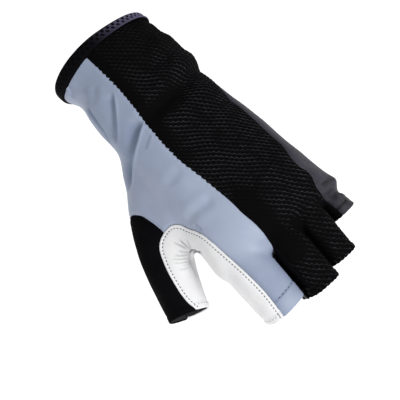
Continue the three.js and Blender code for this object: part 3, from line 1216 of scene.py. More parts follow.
    def press_folds(self) -> None:
        """Presses the folds into the skin, and the small unevenness of worn cloth."""
        places, facing = coordinates(self.skin), normals(self.skin)
        sink = np.zeros(len(places))
        for fold in FOLDS:
            sink += fold.depths(places, facing)
        sink += uneven(places, 24, 0.22, 5) + uneven(places, 8, 0.06, 6)
        move_to(self.skin, places - facing * sink[:, None])
        smooth(self.skin, list(self.skin.verts), 1)

    def press_creases(self) -> None:
        """Makes the skin finer along the sharp creases, and presses them in."""
        places, facing, verts = coordinates(self.skin), normals(self.skin), list(self.skin.verts)
        close = np.any([crease.near(places, facing) for crease in CREASES], axis=0)
        chosen = {verts[number] for number in np.flatnonzero(close & (SEAMS.in_back(places) < -1.5))}
        edges = [edge for edge in self.skin.edges if edge.verts[0] in chosen and edge.verts[1] in chosen]
        bmesh.ops.subdivide_edges(self.skin, edges=edges, cuts=1, use_grid_fill=True)
        self.skin.normal_update()
        places, facing = coordinates(self.skin), normals(self.skin)
        sink = np.sum([crease.depths(places, facing) for crease in CREASES], axis=0)
        move_to(self.skin, places - facing * sink[:, None])

    def past_hem(self, part: Part, places: Array) -> Array:
        """How far places lie beyond a hem, not a number away from that hem."""
        if part is Part.HAND:
            return HAND.start - HAND.station(places)
        sleeve = SLEEVES[part]
        centres, directions, width, height = sleeve.centre_line()
        side, top = sleeve.sides_and_tops(directions)
        offset = places - centres[HEM]
        ahead, across = offset @ directions[HEM], offset @ side[HEM]
        aside = np.abs(across) < width[HEM] + self.hem_reach
        near = np.abs(offset @ top[HEM]) < height[HEM] + self.hem_reach
        near &= np.linalg.norm(offset, axis=1) < self.hem_zone
        found = np.flatnonzero(near)
        if part in FINGERS:
            own = (sleeve.find(places[found]).radius - 1) * width[HEM]
            rivals = [SLEEVES[other] for other in FINGERS if other is not part]
            gaps = [(rival.find(places[found]).radius - 1) * rival.centre_line()[2][-1] for rival in rivals]
            near[found] = own < np.min(gaps, axis=0)
        knitted = ease(SEAMS.in_back(places), 0.5, 1.5) * (1 - ease(SEAMS.in_palm(places), -1.5, -0.5))
        wave = 0.55 * KNIT.edge_wave * knitted * np.cos(2 * math.pi * across / KNIT.wave_pitch)
        return np.where(aside & near, ahead - wave, np.nan)

    def trim_hems(self) -> None:
        """Opens the wrist, the fingers and the thumb at their hems."""
        for part in Part:
            cut_along(self.skin, self.past_hem(part, coordinates(self.skin)))
            with np.errstate(invalid="ignore"):
                beyond = np.flatnonzero(self.past_hem(part, centres_of_faces(self.skin)) > 0)
            self.skin.faces.ensure_lookup_table()
            doomed = [self.skin.faces[number] for number in beyond]
            bmesh.ops.delete(self.skin, geom=doomed, context="FACES")

    def cut_seams(self) -> None:
        """Cuts the skin along each seam, in the order in which the panels take their share."""
        for _, depth in SEAMS.shares():
            cut_along(self.skin, depth(coordinates(self.skin)))
        wide = [face for face in self.skin.faces if len(face.verts) > 4]
        bmesh.ops.triangulate(self.skin, faces=wide)

    def mark_panels(self) -> None:
        """Writes each face's panel, each edge's kind and each vertex's outward direction."""
        centres = centres_of_faces(self.skin)
        owner = np.full(len(centres), Panel.SIDE.number)
        for panel, depth in reversed(SEAMS.shares()):
            with np.errstate(invalid="ignore"):
                owner[depth(centres) > 0] = panel.number
        panel_layer = self.skin.faces.layers.int.new("panel")
        hem_layer = self.skin.edges.layers.int.new("hem")
        facing_layer = self.skin.verts.layers.float_vector.new("facing")
        self.skin.normal_update()
        for face, number in zip(self.skin.faces, owner):
            face[panel_layer] = int(number)
        for edge in self.skin.edges:
            edge[hem_layer] = int(edge.is_boundary)
        for vertex in self.skin.verts:
            vertex[facing_layer] = vertex.normal


def sleeve_radii(places: Array) -> Array:
    """How far out places lie, in a row each, in each of the sleeves: 1 on its face, more outside it."""
    return np.stack([sleeve.find(places).radius for sleeve in (HAND, *SLEEVES.values())], axis=1)


# Finishes


def linear(colour: str) -> tuple[float, float, float, float]:
    """Turns a screen colour such as "8a94a6" into the linear values that shaders use."""
    parts = [int(colour[start : start + 2], 16) / 255 for start in (0, 2, 4)]
    flat = [part / 12.92 if part <= 0.04045 else ((part + 0.055) / 1.055) ** 2.4 for part in parts]
    return (*flat, 1.0)


class NodeBoard:
    """Adds and links the nodes of one material or group."""

    def __init__(self, tree: bpy.types.NodeTree) -> None:
        """Starts on an empty tree."""
        self.tree = tree
        tree.nodes.clear()

    def add(self, kind: str, inputs: dict | None = None, **settings: object) -> bpy.types.Node:
        """Adds a node.

        Args:
            kind: The node's type.
            inputs: Its inputs by name or number, each a value or the socket that feeds it.
            settings: Its other settings.

        Returns:
            The node.
        """
        node = self.tree.nodes.new(kind)
        for name, value in settings.items():
            setattr(node, name, value)
        for key, value in (inputs or {}).items():
            if isinstance(value, Socket):
                self.tree.links.new(value, node.inputs[key])
            else:
                node.inputs[key].default_value = value
        return node

    def math(self, operation: str, *values: object) -> Socket:
        """Adds a Math node and gives its output."""
        return self.add("ShaderNodeMath", dict(enumerate(values)), operation=operation).outputs[0]

    def mix(self, share: object, first: object, second: object) -> Socket:
        """Mixes two colours and gives the result."""
        return self.add("ShaderNodeMix", {0: share, 6: first, 7: second}, data_type="RGBA").outputs[2]

    def noise(self, vector: Socket, scale: float, detail: float, output: str = "Fac") -> Socket:
        """Adds a noise and gives its value or its colour."""
        inputs = {"Vector": vector, "Scale": scale, "Detail": detail}
        return self.add("ShaderNodeTexNoise", inputs).outputs[output]

    def attribute(self, name: str) -> Socket:
        """Reads what the mesh holds under a name."""
        return self.add("ShaderNodeAttribute", attribute_name=name).outputs["Fac"]

    def group(self, effect: "Effect", **inputs: object) -> bpy.types.Node:
        """Adds a shared shader group."""
        return self.add("ShaderNodeGroup", inputs, node_tree=shared(effect))

    def ramp(self, value: Socket, low: float, high: float, start: float = 0.0, end: float = 1.0) -> Socket:
        """Maps a range smoothly onto another."""
        inputs = {"Value": value, "From Min": low, "From Max": high, "To Min": start, "To Max": end}
        return self.add("ShaderNodeMapRange", inputs, interpolation_type="SMOOTHSTEP").outputs["Result"]


class Effect(Enum):
    """The shader groups that several finishes share."""

    GRAIN = "leather_grain"
    TONE = "cloth_tone"
    YARN = "fine_yarn"


def new_group(effect: Effect, inputs: dict[str, object], outputs: tuple[str, ...]) -> tuple:
    """Starts a shader group.

    Args:
        effect: Which one.
        inputs: Each input's default by name: a colour, a number, or nothing for a vector.
        outputs: The names of the outputs. Only one that is called Color is a colour.

    Returns:
        The group's tree, its board and what its inputs give, by name.
    """
    tree = bpy.data.node_groups.new(effect.value, "ShaderNodeTree")
    for name, default in inputs.items():
        kind = "Vector" if default is None else "Color" if isinstance(default, tuple) else "Float"
        socket = tree.interface.new_socket(name, in_out="INPUT", socket_type=f"NodeSocket{kind}")
        if default is not None:
            socket.default_value = default
    for name in outputs:
        kind = "Color" if name == "Color" else "Float"
        tree.interface.new_socket(name, in_out="OUTPUT", socket_type=f"NodeSocket{kind}")
    board = NodeBoard(tree)
    return tree, board, board.add("NodeGroupInput").outputs


def leather_grain() -> bpy.types.NodeTree:
    """Pebbled grain: rounded cells with creases between them, finer where the hide is tight."""
    tree, board, given = new_group(Effect.GRAIN, {"Vector": None, "Scale": 900.0}, ("Height", "Crease"))
    drift = board.noise(given["Vector"], 160.0, 2.0, "Color")
    shift = board.add("ShaderNodeVectorMath", {0: drift, "Scale": 0.0016}, operation="SCALE").outputs[0]
    moved = board.add("ShaderNodeVectorMath", {0: given["Vector"], 1: shift}, operation="ADD").outputs[0]
    cells = {"Vector": moved, "Scale": given["Scale"], "Randomness": 0.9}
    edge = board.add("ShaderNodeTexVoronoi", cells, feature="DISTANCE_TO_EDGE")
    crease = board.ramp(edge.outputs["Distance"], 0.0, 0.22, 1.0, 0.0)
    fine = board.noise(given["Vector"], 2600.0, 3.0)
    height = board.math("MULTIPLY_ADD", fine, 0.25, board.math("SUBTRACT", 1.0, crease))
    board.add("NodeGroupOutput", {"Height": height, "Crease": crease})
    return tree


def cloth_tone() -> bpy.types.NodeTree:
    """Uneven dye: a colour that wanders a little towards another."""
    inputs = {"Vector": None, "Base": (0.5, 0.5, 0.5, 1.0), "Shade": (0.4, 0.4, 0.4, 1.0), "Scale": 60.0}
    tree, board, given = new_group(Effect.TONE, inputs, ("Color", "Share"))
    broad = {"Vector": given["Vector"], "Scale": given["Scale"], "Detail": 4.0, "Roughness": 0.6}
    share = board.ramp(board.add("ShaderNodeTexNoise", broad).outputs["Fac"], 0.36, 0.68)
    colour = board.mix(share, given["Base"], given["Shade"])
    board.add("NodeGroupOutput", {"Color": colour, "Share": share})
    return tree


def fine_yarn() -> bpy.types.NodeTree:
    """Fine stretch knit: close ribs with their loops, along the piece's own map."""
    tree, board, given = new_group(Effect.YARN, {"Vector": None, "Pitch": 0.0006}, ("Height",))
    parts = board.add("ShaderNodeSeparateXYZ", {0: given["Vector"]}).outputs
    turn = board.math("DIVIDE", 2 * math.pi, given["Pitch"])
    rib = board.math("SINE", board.math("MULTIPLY", parts["Y"], turn))
    slant = board.math("MULTIPLY_ADD", rib, 0.9, board.math("MULTIPLY", parts["X"], turn))
    loop = board.math("MULTIPLY", board.math("SINE", slant), 0.5)
    height = board.math("MULTIPLY_ADD", rib, 0.35, loop)
    board.add("NodeGroupOutput", {"Height": board.math("MULTIPLY_ADD", height, 0.6, 0.5)})
    return tree


MAKERS = {Effect.GRAIN: leather_grain, Effect.TONE: cloth_tone, Effect.YARN: fine_yarn}


def shared(effect: Effect) -> bpy.types.NodeTree:
    """The shader group of an effect, built once."""
    return bpy.data.node_groups.get(effect.value) or MAKERS[effect]()


@dataclass(frozen=True)
class Finish:
    """What every finish has.

    Attributes:
        name: The material's name.
        base: Its main colour.
        shade: The colour that it wanders to.
        roughness: How matt it is.
        sheen: The strength of the pale sheen of fibres at glancing angles.
        bump: The depth of its fine relief, in metres.
        specular: The strength of its plain reflection.
        painted_shade_colour: Its colour where the painted shade in the creases is darkest.
    """

    name: str
    base: str
    shade: str
    roughness: float
    sheen: float = 0.0
    bump: float = 0.0001
    specular: float = 0.5
    painted_shade_colour: str = "08080a"

    def build(self) -> bpy.types.Material:
        """Makes the material, or finds it if another piece has it already."""
        found = bpy.data.materials.get(self.name)
        if found is not None:
            return found
        material = bpy.data.materials.new(self.name)
        material.use_nodes = True
        material.diffuse_color = linear(self.base)
        board = NodeBoard(material.node_tree)
        places = board.add("ShaderNodeTexCoord").outputs["Object"]
        tone = board.group(Effect.TONE, Vector=places, Base=linear(self.base), Shade=linear(self.shade))
        # Painted shade: the colour is drawn towards painted_shade_colour as far as the mesh's shadow layer
        # says.
        cloth = board.mix(board.attribute("shadow"), tone.outputs["Color"], linear(self.painted_shade_colour))
        colour, height, roughness = self.surface(board, places, cloth, tone.outputs["Share"])
        bump = board.add("ShaderNodeBump", {"Height": height, "Strength": 1.0, "Distance": self.bump})
        inputs = {
            "Base Color": colour,
            "Roughness": roughness,
            "Normal": bump.outputs["Normal"],
            "Sheen Weight": self.sheen,
            "Sheen Roughness": 0.45,
            "Specular IOR Level": self.specular,
        }
        shader = board.add("ShaderNodeBsdfPrincipled", inputs)
        board.add("ShaderNodeOutputMaterial", {"Surface": shader.outputs["BSDF"]})
        return material

    def surface(self, board: NodeBoard, places: Socket, colour: Socket, share: Socket) -> tuple:
        """Adds the finish's own nodes.

        Args:
            board: The material's nodes.
            places: Object coordinates.
            colour: The uneven base colour.
            share: How far it has wandered to the shade.

        Returns:
            What feeds the colour, the bump's height and the roughness.
        """
        raise NotImplementedError


@dataclass(frozen=True)
class KnitFinish(Finish):
    """Black yarn in an open relief: painted shade in the holes and a painted grey glint on the loops."""

    # The colour of the painted glint.
    glint: str = "36363b"

    def surface(self, board: NodeBoard, places: Socket, colour: Socket, share: Socket) -> tuple:
        """Adds the painted glints, the painted shade in the holes and the strands of the yarn."""
        loft = board.attribute("loft")
        strands, patches = board.noise(places, 2400.0, 3.0), board.noise(places, 190.0, 2.0)
        crest = board.math("MULTIPLY", board.ramp(loft, 0.5, 0.95), board.ramp(strands, 0.3, 0.52))
        bright = board.math("MULTIPLY", crest, board.ramp(patches, 0.36, 0.64, 0.3, 1.0))
        # Painted glint on the crests of the loops, in uneven patches.
        lit = board.mix(bright, colour, linear(self.glint))
        # Painted shade in the holes between the rows.
        dark = board.mix(board.ramp(loft, 0.0, 0.4, 0.6, 0.0), lit, (0.001, 0.001, 0.001, 1.0))
        rough = board.ramp(bright, 0.0, 1.0, self.roughness, self.roughness - 0.22)
        return dark, strands, rough


@dataclass(frozen=True)
class StretchFinish(Finish):
    """Smooth stretch cloth with a fine rib."""

    pitch: float = 0.0006

    def surface(self, board: NodeBoard, places: Socket, colour: Socket, share: Socket) -> tuple:
        """Adds the rib."""
        flat = board.add("ShaderNodeUVMap", uv_map="cloth").outputs["UV"]
        yarn = board.group(Effect.YARN, Vector=flat, Pitch=self.pitch)
        rough = board.ramp(share, 0.0, 1.0, self.roughness - 0.05, self.roughness + 0.06)
        return colour, yarn.outputs["Height"], rough


@dataclass(frozen=True)
class LeatherFinish(Finish):
    """Grained leather, with darker creases and a worn, smoother face."""

    grain: float = 1300.0
    crease: float = 0.25

    def surface(self, board: NodeBoard, places: Socket, colour: Socket, share: Socket) -> tuple:
        """Adds the grain."""
        grain = board.group(Effect.GRAIN, Vector=places, Scale=self.grain)
        amount = board.math("MULTIPLY", grain.outputs["Crease"], self.crease)
        sunk = board.mix(amount, colour, tuple(0.35 * part for part in linear(self.shade)[:3]) + (1.0,))
        rough = board.math("MULTIPLY_ADD", grain.outputs["Crease"], 0.12, self.roughness)
        return sunk, grain.outputs["Height"], rough


@dataclass(frozen=True)
class ElasticFinish(Finish):
    """Woven elastic over a black ground, with a dull violet painted sheen on its lace at the ulnar side of
    the back.
    """

    # The colour of the painted sheen on the lace.
    lace: str = "7a7493"

    def surface(self, board: NodeBoard, places: Socket, colour: Socket, share: Socket) -> tuple:
        """Adds the lace's painted violet sheen and its fine strands."""
        loft, strands = board.attribute("loft"), board.noise(places, 1900.0, 2.0)
        shown = board.math("MULTIPLY", board.ramp(loft, 0.25, 0.85), board.attribute("bloom"))
        shown = board.math("MULTIPLY", shown, board.ramp(strands, 0.3, 0.7, 0.65, 1.0))
        lit = board.mix(shown, colour, linear(self.lace))
        rough = board.ramp(loft, 0.2, 1.0, self.roughness + 0.15, self.roughness)
        return lit, strands, rough


@dataclass(frozen=True)
class ThreadFinish(Finish):
    """Twisted sewing thread."""

    def surface(self, board: NodeBoard, places: Socket, colour: Socket, share: Socket) -> tuple:
        """Adds the twist."""
        rough = board.ramp(share, 0.0, 1.0, self.roughness - 0.08, self.roughness + 0.05)
        return colour, board.noise(places, 4200.0, 1.0), rough


@dataclass(frozen=True)
class FloorFinish(ThreadFinish):
    """A pale studio floor, lit from within a little so that it stays an even white."""

    glow: float = 0.3

    def build(self) -> bpy.types.Material:
        """Makes the floor's material."""
        material = super().build()
        shader = next(node for node in material.node_tree.nodes if node.type == "BSDF_PRINCIPLED")
        shader.inputs["Emission Color"].default_value = linear(self.base)
        shader.inputs["Emission Strength"].default_value = self.glow
        return material


BLACK_KNIT = KnitFinish("open_black_knit", "060607", "040405", 0.8, bump=0.00012, specular=0.05)
GREY_STRETCH = StretchFinish(
    "blue_grey_cloth", "a4aec3", "9ea8bf", 0.5, sheen=0.1, bump=0.00003, painted_shade_colour="5b6d8a"
)
WHITE_LEATHER = LeatherFinish(
    "supple_white_leather", "f2f2f3", "ebebed", 0.46,
    specular=0.35, bump=0.00004, painted_shade_colour="1c1c20", grain=1500.0, crease=0.06,
)
SLATE_LEATHER = LeatherFinish(
    "soft_slate_leather", "41404a", "393842", 0.5, bump=0.00009, specular=0.22, grain=1150.0, crease=0.35
)
BLACK_STRETCH = StretchFinish("smooth_black_cloth", "0c0c0e", "09090b", 0.9, bump=0.00006, specular=0.03)
BLACK_ELASTIC = ElasticFinish("lacy_black_elastic", "040405", "030304", 0.7, bump=0.0001, specular=0.05)
DARK_THREAD = ThreadFinish("dark_thread", "2a2a30", "222228", 0.6, bump=0.00005)
BLACK_THREAD = ThreadFinish("black_thread", "17171b", "101014", 0.6, bump=0.00005)
TRICOT = StretchFinish("lining_tricot", "2b2b30", "252529", 0.85, sheen=0.15, bump=0.00005, pitch=0.0009)
PALE_FLOOR = FloorFinish("pale_floor", "fbfbfb", "fafafa", 0.9, bump=0.000001, specular=0.05)


# Sewn pieces


def finished_object(name: str, bm: Skin, finishes: list[Finish]) -> bpy.types.Object:
    """Turns a mesh in millimetres into a finished piece.

    Args:
        name: The piece's name.
        bm: The mesh, which is freed.
        finishes: The materials that its faces number.

    Returns:
        The piece's object, at the origin.
    """
    bmesh.ops.scale(bm, vec=(MM, MM, MM), verts=bm.verts)
    mesh = stored(name, bm)
    mesh.polygons.foreach_set("use_smooth", [True] * len(mesh.polygons))
    for finish in finishes:
        mesh.materials.append(finish.build())
    piece = placed(name, mesh)
    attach(piece, BODY_NAME)
    triangles = sum(len(polygon.vertices) - 2 for polygon in mesh.polygons)
    LOG.info("%s: %d triangles", name, triangles)
    return piece


@dataclass
class Edging:
    """The edge points of a panel, each with the direction that leads off the panel."""

    points: list[Vector]
    outward: list[Vector]

    def measure(self, places: Array) -> tuple[Array, Array]:
        """Measures to the nearest edge point.

        Args:
            places: One place in each row.

        Returns:
            The distances, and the edge points' outward directions.
        """
        if not self.points:
            return np.full(len(places), 99.0), np.zeros((len(places), 3))
        tree = KDTree(len(self.points))
        for number, point in enumerate(self.points):
            tree.insert(point, number)
        tree.balance()
        found = [tree.find(place) for place in places]
        return np.array([hit[2] for hit in found]), np.array([self.outward[hit[1]][:] for hit in found])


def leads_off(edge: bmesh.types.BMEdge) -> Vector:
    """The direction that leads off a panel over one of its outer edges."""
    face = edge.link_faces[0]
    start, end = edge.verts
    away = (end.co - start.co).cross(face.normal)
    if away.dot(face.calc_center_median() - (start.co + end.co) / 2) > 0:
        away.negate()
    return away


@dataclass
class SewnPanel:
    """One panel of the glove, with its thickness, its turned edges and its own relief.

    Attributes:
        panel: Which panel of the skin.
        name: The finished piece's name.
        slot: The name of a material slot; not used.
        finish: The outer face.
        lining: The inner face.
        wall: The cloth's thickness.
        proud: How far it stands above the smooth form.
        seam_dip: How far its seam edges are drawn in.
        seam_width: How wide the drawn-in strip is.
        seam_gap: How far its edges stay back from a seam.
        seam_round: How far its seam edges bulge.
        hem_round: How far its hems bulge.
        hem_fold: How wide its hems are folded over.
        hem_rise: How much thicker they are there.
        hem_press: How deep the hem's stitches press in.
        fine: Whether its outer faces are made finer for the relief.
    """

    panel: Panel
    name: str
    slot: str
    finish: Finish
    lining: Finish = TRICOT
    wall: float = 1.1
    proud: float = 0.0
    seam_dip: float = 0.5
    seam_width: float = 1.0
    seam_gap: float = 0.16
    seam_round: float = 0.2
    hem_round: float = 0.55
    hem_fold: float = 3.0
    hem_rise: float = 0.22
    hem_press: float = 0.3
    fine: bool = True
    bm: Skin = field(init=False, repr=False)

    def build(self, skin: Skin) -> None:
        """Makes the panel as its share of the whole glove's skin."""
        self.take_share(skin)
        self.draw_in_edges()
        self.thicken()
        if self.fine:
            self.refine()
        self.finish_surface()
        self.map_cloth()
        piece = finished_object(self.name, self.bm, [self.finish, self.lining])
        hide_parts(self.panel.value)

    def take_share(self, skin: Skin) -> None:
        """Copies the panel's faces out of the skin."""
        self.bm = skin.copy()
        layer = self.bm.faces.layers.int["panel"]
        mine = self.panel.number
        others = [face for face in self.bm.faces if face[layer] != mine]
        bmesh.ops.delete(self.bm, geom=others, context="FACES")
        self.bm.verts.index_update()
        self.bm.normal_update()

    def edging(self, hems: bool) -> Edging:
        """The panel's seam edges, or its hems."""
        layer = self.bm.edges.layers.int["hem"]
        outward = defaultdict(Vector)
        for edge in self.bm.edges:
            if edge.is_boundary and bool(edge[layer]) == hems:
                away = leads_off(edge)
                for vertex in edge.verts:
                    outward[vertex] += away
        points = [vertex.co.copy() for vertex in outward]
        return Edging(points, [direction.normalized() for direction in outward.values()])

    def draw_in_edges(self) -> None:
        """Draws the edges back from the seams and down into them, and keeps what was measured."""
        facing_layer = self.bm.verts.layers.float_vector["facing"]
        places = coordinates(self.bm)
        facing = np.array([vertex[facing_layer][:] for vertex in self.bm.verts])
        self.seam_edging, self.hem_edging = self.edging(False), self.edging(True)
        to_seam, off_seam = self.seam_edging.measure(places)
        to_hem, _ = self.hem_edging.measure(places)
        back = self.seam_gap * np.clip(1 - to_seam / 1.8, 0, 1)
        lift = self.proud - self.seam_dip * bell(to_seam, self.seam_width)
        lift = lift + self.relief(places, facing, to_seam, to_hem)
        move_to(self.bm, places - off_seam * back[:, None] + facing * lift[:, None])

    def relief(self, places: Array, facing: Array, to_seam: Array, to_hem: Array) -> Array:
        """The panel's own raised and sunk lines.

        Args:
            places: Points of the smooth form.
            facing: Its outward directions there.
            to_seam: Distances to the nearest seam.
            to_hem: Distances to the nearest hem.

        Returns:
            How far each point is raised.
        """
        doubled = self.hem_rise * (1 - ease(to_hem, self.hem_fold - 0.4, self.hem_fold + 0.4))
        stitched = self.hem_press * bell(to_hem - self.hem_fold, 0.5)
        return (doubled - stitched) * ease(places[:, 0], 10, 20)

    def thicken(self) -> None:
        """Gives the panel its wall, closed at every edge by a rounded turn of the cloth."""
        self.bm.normal_update()
        hem_layer = self.bm.edges.layers.int["hem"]
        self.bm.verts.layers.float.new("shadow")
        skin_layer = self.bm.verts.layers.int.new("outside")
        outer_verts, outer_faces = list(self.bm.verts), list(self.bm.faces)
        rim = [edge for edge in self.bm.edges if edge.is_boundary]
        outward, hemmed = defaultdict(Vector), defaultdict(bool)
        for edge in rim:
            away = leads_off(edge)
            for vertex in edge.verts:
                outward[vertex] += away
                hemmed[vertex] = hemmed[vertex] or bool(edge[hem_layer])
        for vertex in outer_verts:
            vertex[skin_layer] = 1
        start_at = {vertex: (vertex.co.copy(), vertex.normal.copy()) for vertex in outer_verts}
        copied = bmesh.ops.duplicate(self.bm, geom=outer_verts + outer_faces)
        inner = {vertex: copied["vert_map"][vertex] for vertex in outer_verts}
        for vertex, twin in inner.items():
            twin.co = vertex.co - self.wall * start_at[vertex][1]
            twin[skin_layer] = 0
        inner_faces = [item for item in copied["geom"] if isinstance(item, bmesh.types.BMFace)]
        for face in inner_faces:
            face.material_index = 1
        root = {vertex: vertex for edge in rim for vertex in edge.verts}
        steps = 4
        for step in range(1, steps + 1):
            made = bmesh.ops.extrude_edge_only(self.bm, edges=rim)["geom"]
            rim = [item for item in made if isinstance(item, bmesh.types.BMEdge)]
            if step > steps / 2:
                for face in {face for edge in rim for face in edge.link_faces}:
                    seamed = any(vertex in root and not hemmed[root[vertex]] for vertex in face.verts)
                    face.material_index = int(seamed)
            fresh = {}
            for vertex in (item for item in made if isinstance(item, Vertex)):
                beside = (edge.other_vert(vertex) for edge in vertex.link_edges)
                fresh[vertex] = next(root[other] for other in beside if other in root)
            turn = math.pi * step / steps
            for vertex, first in fresh.items():
                place, normal = start_at[first]
                away = outward[first] - outward[first].dot(normal) * normal
                bulge = self.hem_round if hemmed[first] else self.seam_round
                sideways = away.normalized() * bulge * math.sin(turn)
                vertex.co = place + sideways - normal * (self.wall / 2 * (1 - math.cos(turn)))
                vertex[skin_layer] = 0
            root = fresh
        bmesh.ops.weld_verts(self.bm, targetmap={vertex: inner[first] for vertex, first in root.items()})
        bmesh.ops.recalc_face_normals(self.bm, faces=self.bm.faces)

    def outer_face(self) -> tuple[list[Vertex], Array, Array]:
        """The vertices of the outer face, their places and their normals."""
        self.bm.normal_update()
        layer = self.bm.verts.layers.int["outside"]
        verts = [vertex for vertex in self.bm.verts if vertex[layer]]
        places = np.array([vertex.co[:] for vertex in verts])
        return verts, places, np.array([vertex.normal[:] for vertex in verts])

    def refine(self) -> None:
        """Halves the edges of the outer face and eases them."""
        layer = self.bm.verts.layers.int["outside"]
        edges = [edge for edge in self.bm.edges if edge.verts[0][layer] and edge.verts[1][layer]]
        split = bmesh.ops.subdivide_edges(self.bm, edges=edges, cuts=1, use_grid_fill=True)
        for item in split["geom_inner"]:
            if isinstance(item, Vertex):
                item[layer] = 1
        outer = [vertex for vertex in self.bm.verts if vertex[layer]]
        neighbours = {vertex: [edge.other_vert(vertex) for edge in vertex.link_edges] for vertex in outer}
        inside = [vertex for vertex, near in neighbours.items() if all(other[layer] for other in near)]
        smooth(self.bm, inside, 2)

    def finish_surface(self) -> None:
        """Adds what only the finer face can hold."""

    def store_shadow(self, verts: list[Vertex], shadow: Array) -> None:
        """Keeps the painted shade of the outer face, for its finish."""
        layer = self.bm.verts.layers.float["shadow"]
        for vertex, dark in zip(verts, np.clip(shadow, 0, 1)):
            vertex[layer] = dark

    def map_cloth(self) -> None:
        """Lays the piece's own map on it, in metres along and across the glove."""
        layer = self.bm.loops.layers.uv.new("cloth")
        places = coordinates(self.bm)
        u, v = cloth_coordinates(places)
        self.bm.verts.index_update()
        for face in self.bm.faces:
            for loop in face.loops:
                number = loop.vert.index
                loop[layer].uv = (u[number] * MM, v[number] * MM)


def arc_lengths(squareness: float, height: float) -> tuple[Array, Array]:
    """Distances round a sleeve of unit half width from the middle of its back.

    Args:
        squareness: The sleeve's squareness.
        height: Its half height.

    Returns:
        Angles of the unit disc and the distances to them.
    """
    angle = np.linspace(-math.pi, math.pi, 721)
    across = squared(np.sin(angle), squareness)
    up = height * squared(np.cos(angle), squareness)
    step = np.hypot(np.diff(across), np.diff(up))
    reach = np.concatenate([[0], np.cumsum(step)])
    return angle, reach - np.interp(0, angle, reach)


def cloth_coordinates(places: Array) -> tuple[Array, Array]:
    """Flattens the glove: how far places lie along and across it, measured over its surface.

    Args:
        places: One place in each row.

    Returns:
        The distances along and across, in millimetres.
    """
    total = np.zeros((len(places), 3))
    hand = HAND.find(places)
    middle, half, _, tall = HAND.box(HAND.sections.at(hand.along))
    across = wrapped(hand, 2.5, tall.mean() / half.mean()) * half + middle
    rows = [(hand.radius, hand.along, across)]
    for sleeve in SLEEVES.values():
        found = sleeve.find(places)
        centres, _, width, height = sleeve.centre_line()
        reach = np.concatenate([[0], np.cumsum(np.linalg.norm(np.diff(centres, axis=0), axis=1))])
        ticks = np.linspace(0, 1, len(centres))
        span = np.interp(found.along, ticks, width)
        middle = np.interp(found.along, ticks, centres[:, 1])
        along = centres[0, 0] + np.interp(found.along, ticks, reach)
        across = middle + wrapped(found, sleeve.squareness, height[-1] / width[-1]) * span
        rows.append((found.radius, along, across))
    nearest = np.min([row[0] for row in rows], axis=0)
    for radius, along, across in rows:
        weight = np.exp(-(radius - nearest) / 0.1)
        total += np.stack([weight * along, weight * across, weight], axis=1)
    return total[:, 0] / total[:, 2], total[:, 1] / total[:, 2]


def wrapped(found: SleevePlaces, squareness: float, height: float) -> Array:
    """How far places lie round a sleeve from the middle of its back, over its half width."""
    angle, reach = arc_lengths(squareness, height)
    across, up = squared(found.across, 4 / squareness), squared(found.up, 4 / squareness)
    return np.interp(np.arctan2(across, up), angle, reach)


@dataclass
class KnitBack(SewnPanel):
    """The black knit over the back of the hand and the fingers."""

    def finish_surface(self) -> None:
        """Raises the rows of the knit, and keeps their height for the painted glint and the painted shade in
        the holes, lowered where the knit lies flat and in painted shade.
        """
        layer = self.bm.verts.layers.float.new("loft")
        verts, places, facing = self.outer_face()
        to_seam, _ = self.seam_edging.measure(places)
        to_hem, _ = self.hem_edging.measure(places)
        free = ease(to_seam, 0.8, 3.0) * ease(places[:, 0], 118, 126)
        u, v = self.eased(verts, free, *cloth_coordinates(places))
        loft, flat_and_shaded = KNIT.loft(u, v), KNIT.flat_and_shaded(places, facing)
        strength = (0.25 + 0.75 * ease(np.minimum(to_seam, to_hem), 0.2, 1.4)) * (1 - 0.6 * flat_and_shaded)
        sink = KNIT.depth * strength * (1 - loft)
        for vertex, place, height in zip(verts, places - facing * sink[:, None], loft * (1 - flat_and_shaded)):
            vertex.co = place
            vertex[layer] = height

    def eased(self, verts: list, share: Array, *columns: Array) -> list[Array]:
        """Evens values out over the surface.

        Args:
            verts: The vertices that have them.
            share: How freely each may change, from 0 to 1.
            columns: The values.

        Returns:
            The evened values.
        """
        rounds = 70
        order = {vertex: number for number, vertex in enumerate(verts)}
        ends = np.array([
            (order[edge.verts[0]], order[edge.verts[1]])
            for edge in self.bm.edges
            if edge.verts[0] in order and edge.verts[1] in order
        ])
        first, second = np.concatenate([ends, ends[:, ::-1]]).T
        count = np.maximum(np.bincount(first, minlength=len(verts)), 1)
        for _ in range(rounds):
            means = [np.bincount(first, column[second], len(verts)) / count for column in columns]
            columns = [column + share * (mean - column) for column, mean in zip(columns, means)]
        return columns


# Stitches and the cuff


@dataclass(frozen=True)
class Stitch:
    """One kind of stitch, in millimetres."""

    pitch: float
    length: float
    width: float = 0.42
    height: float = 0.3
    lift: float = 0.02

    def sew(self, target: Skin, route: Route) -> int:
        """Sews one route.

        Args:
            target: The mesh that the stitches are added to.
            route: The line that they follow.

        Returns:
            How many stitches it took.
        """
        line = route.smoothed().spaced(self.pitch)
        for start, end, facing in zip(line.points, line.points[1:], line.normals):
            along = Vector(end - start).normalized()
            upward = Vector(facing)
            upward = (upward - upward.dot(along) * along).normalized()
            aside = upward.cross(along)
            middle = Vector((start + end) / 2) + upward * self.lift
            axes = (along * self.length / 2, aside * self.width / 2, upward * self.height / 2)
            matrix = Matrix.Translation(middle) @ Matrix(axes).transposed().to_4x4()
            bmesh.ops.create_uvsphere(target, u_segments=8, v_segments=4, radius=1, matrix=matrix)
        return len(line.points) - 1


SHORT_STITCH = Stitch(2.1, 1.0)
FINE_STITCH = Stitch(1.75, 1.05, 0.5)
LONG_STITCH = Stitch(2.2, 1.45)


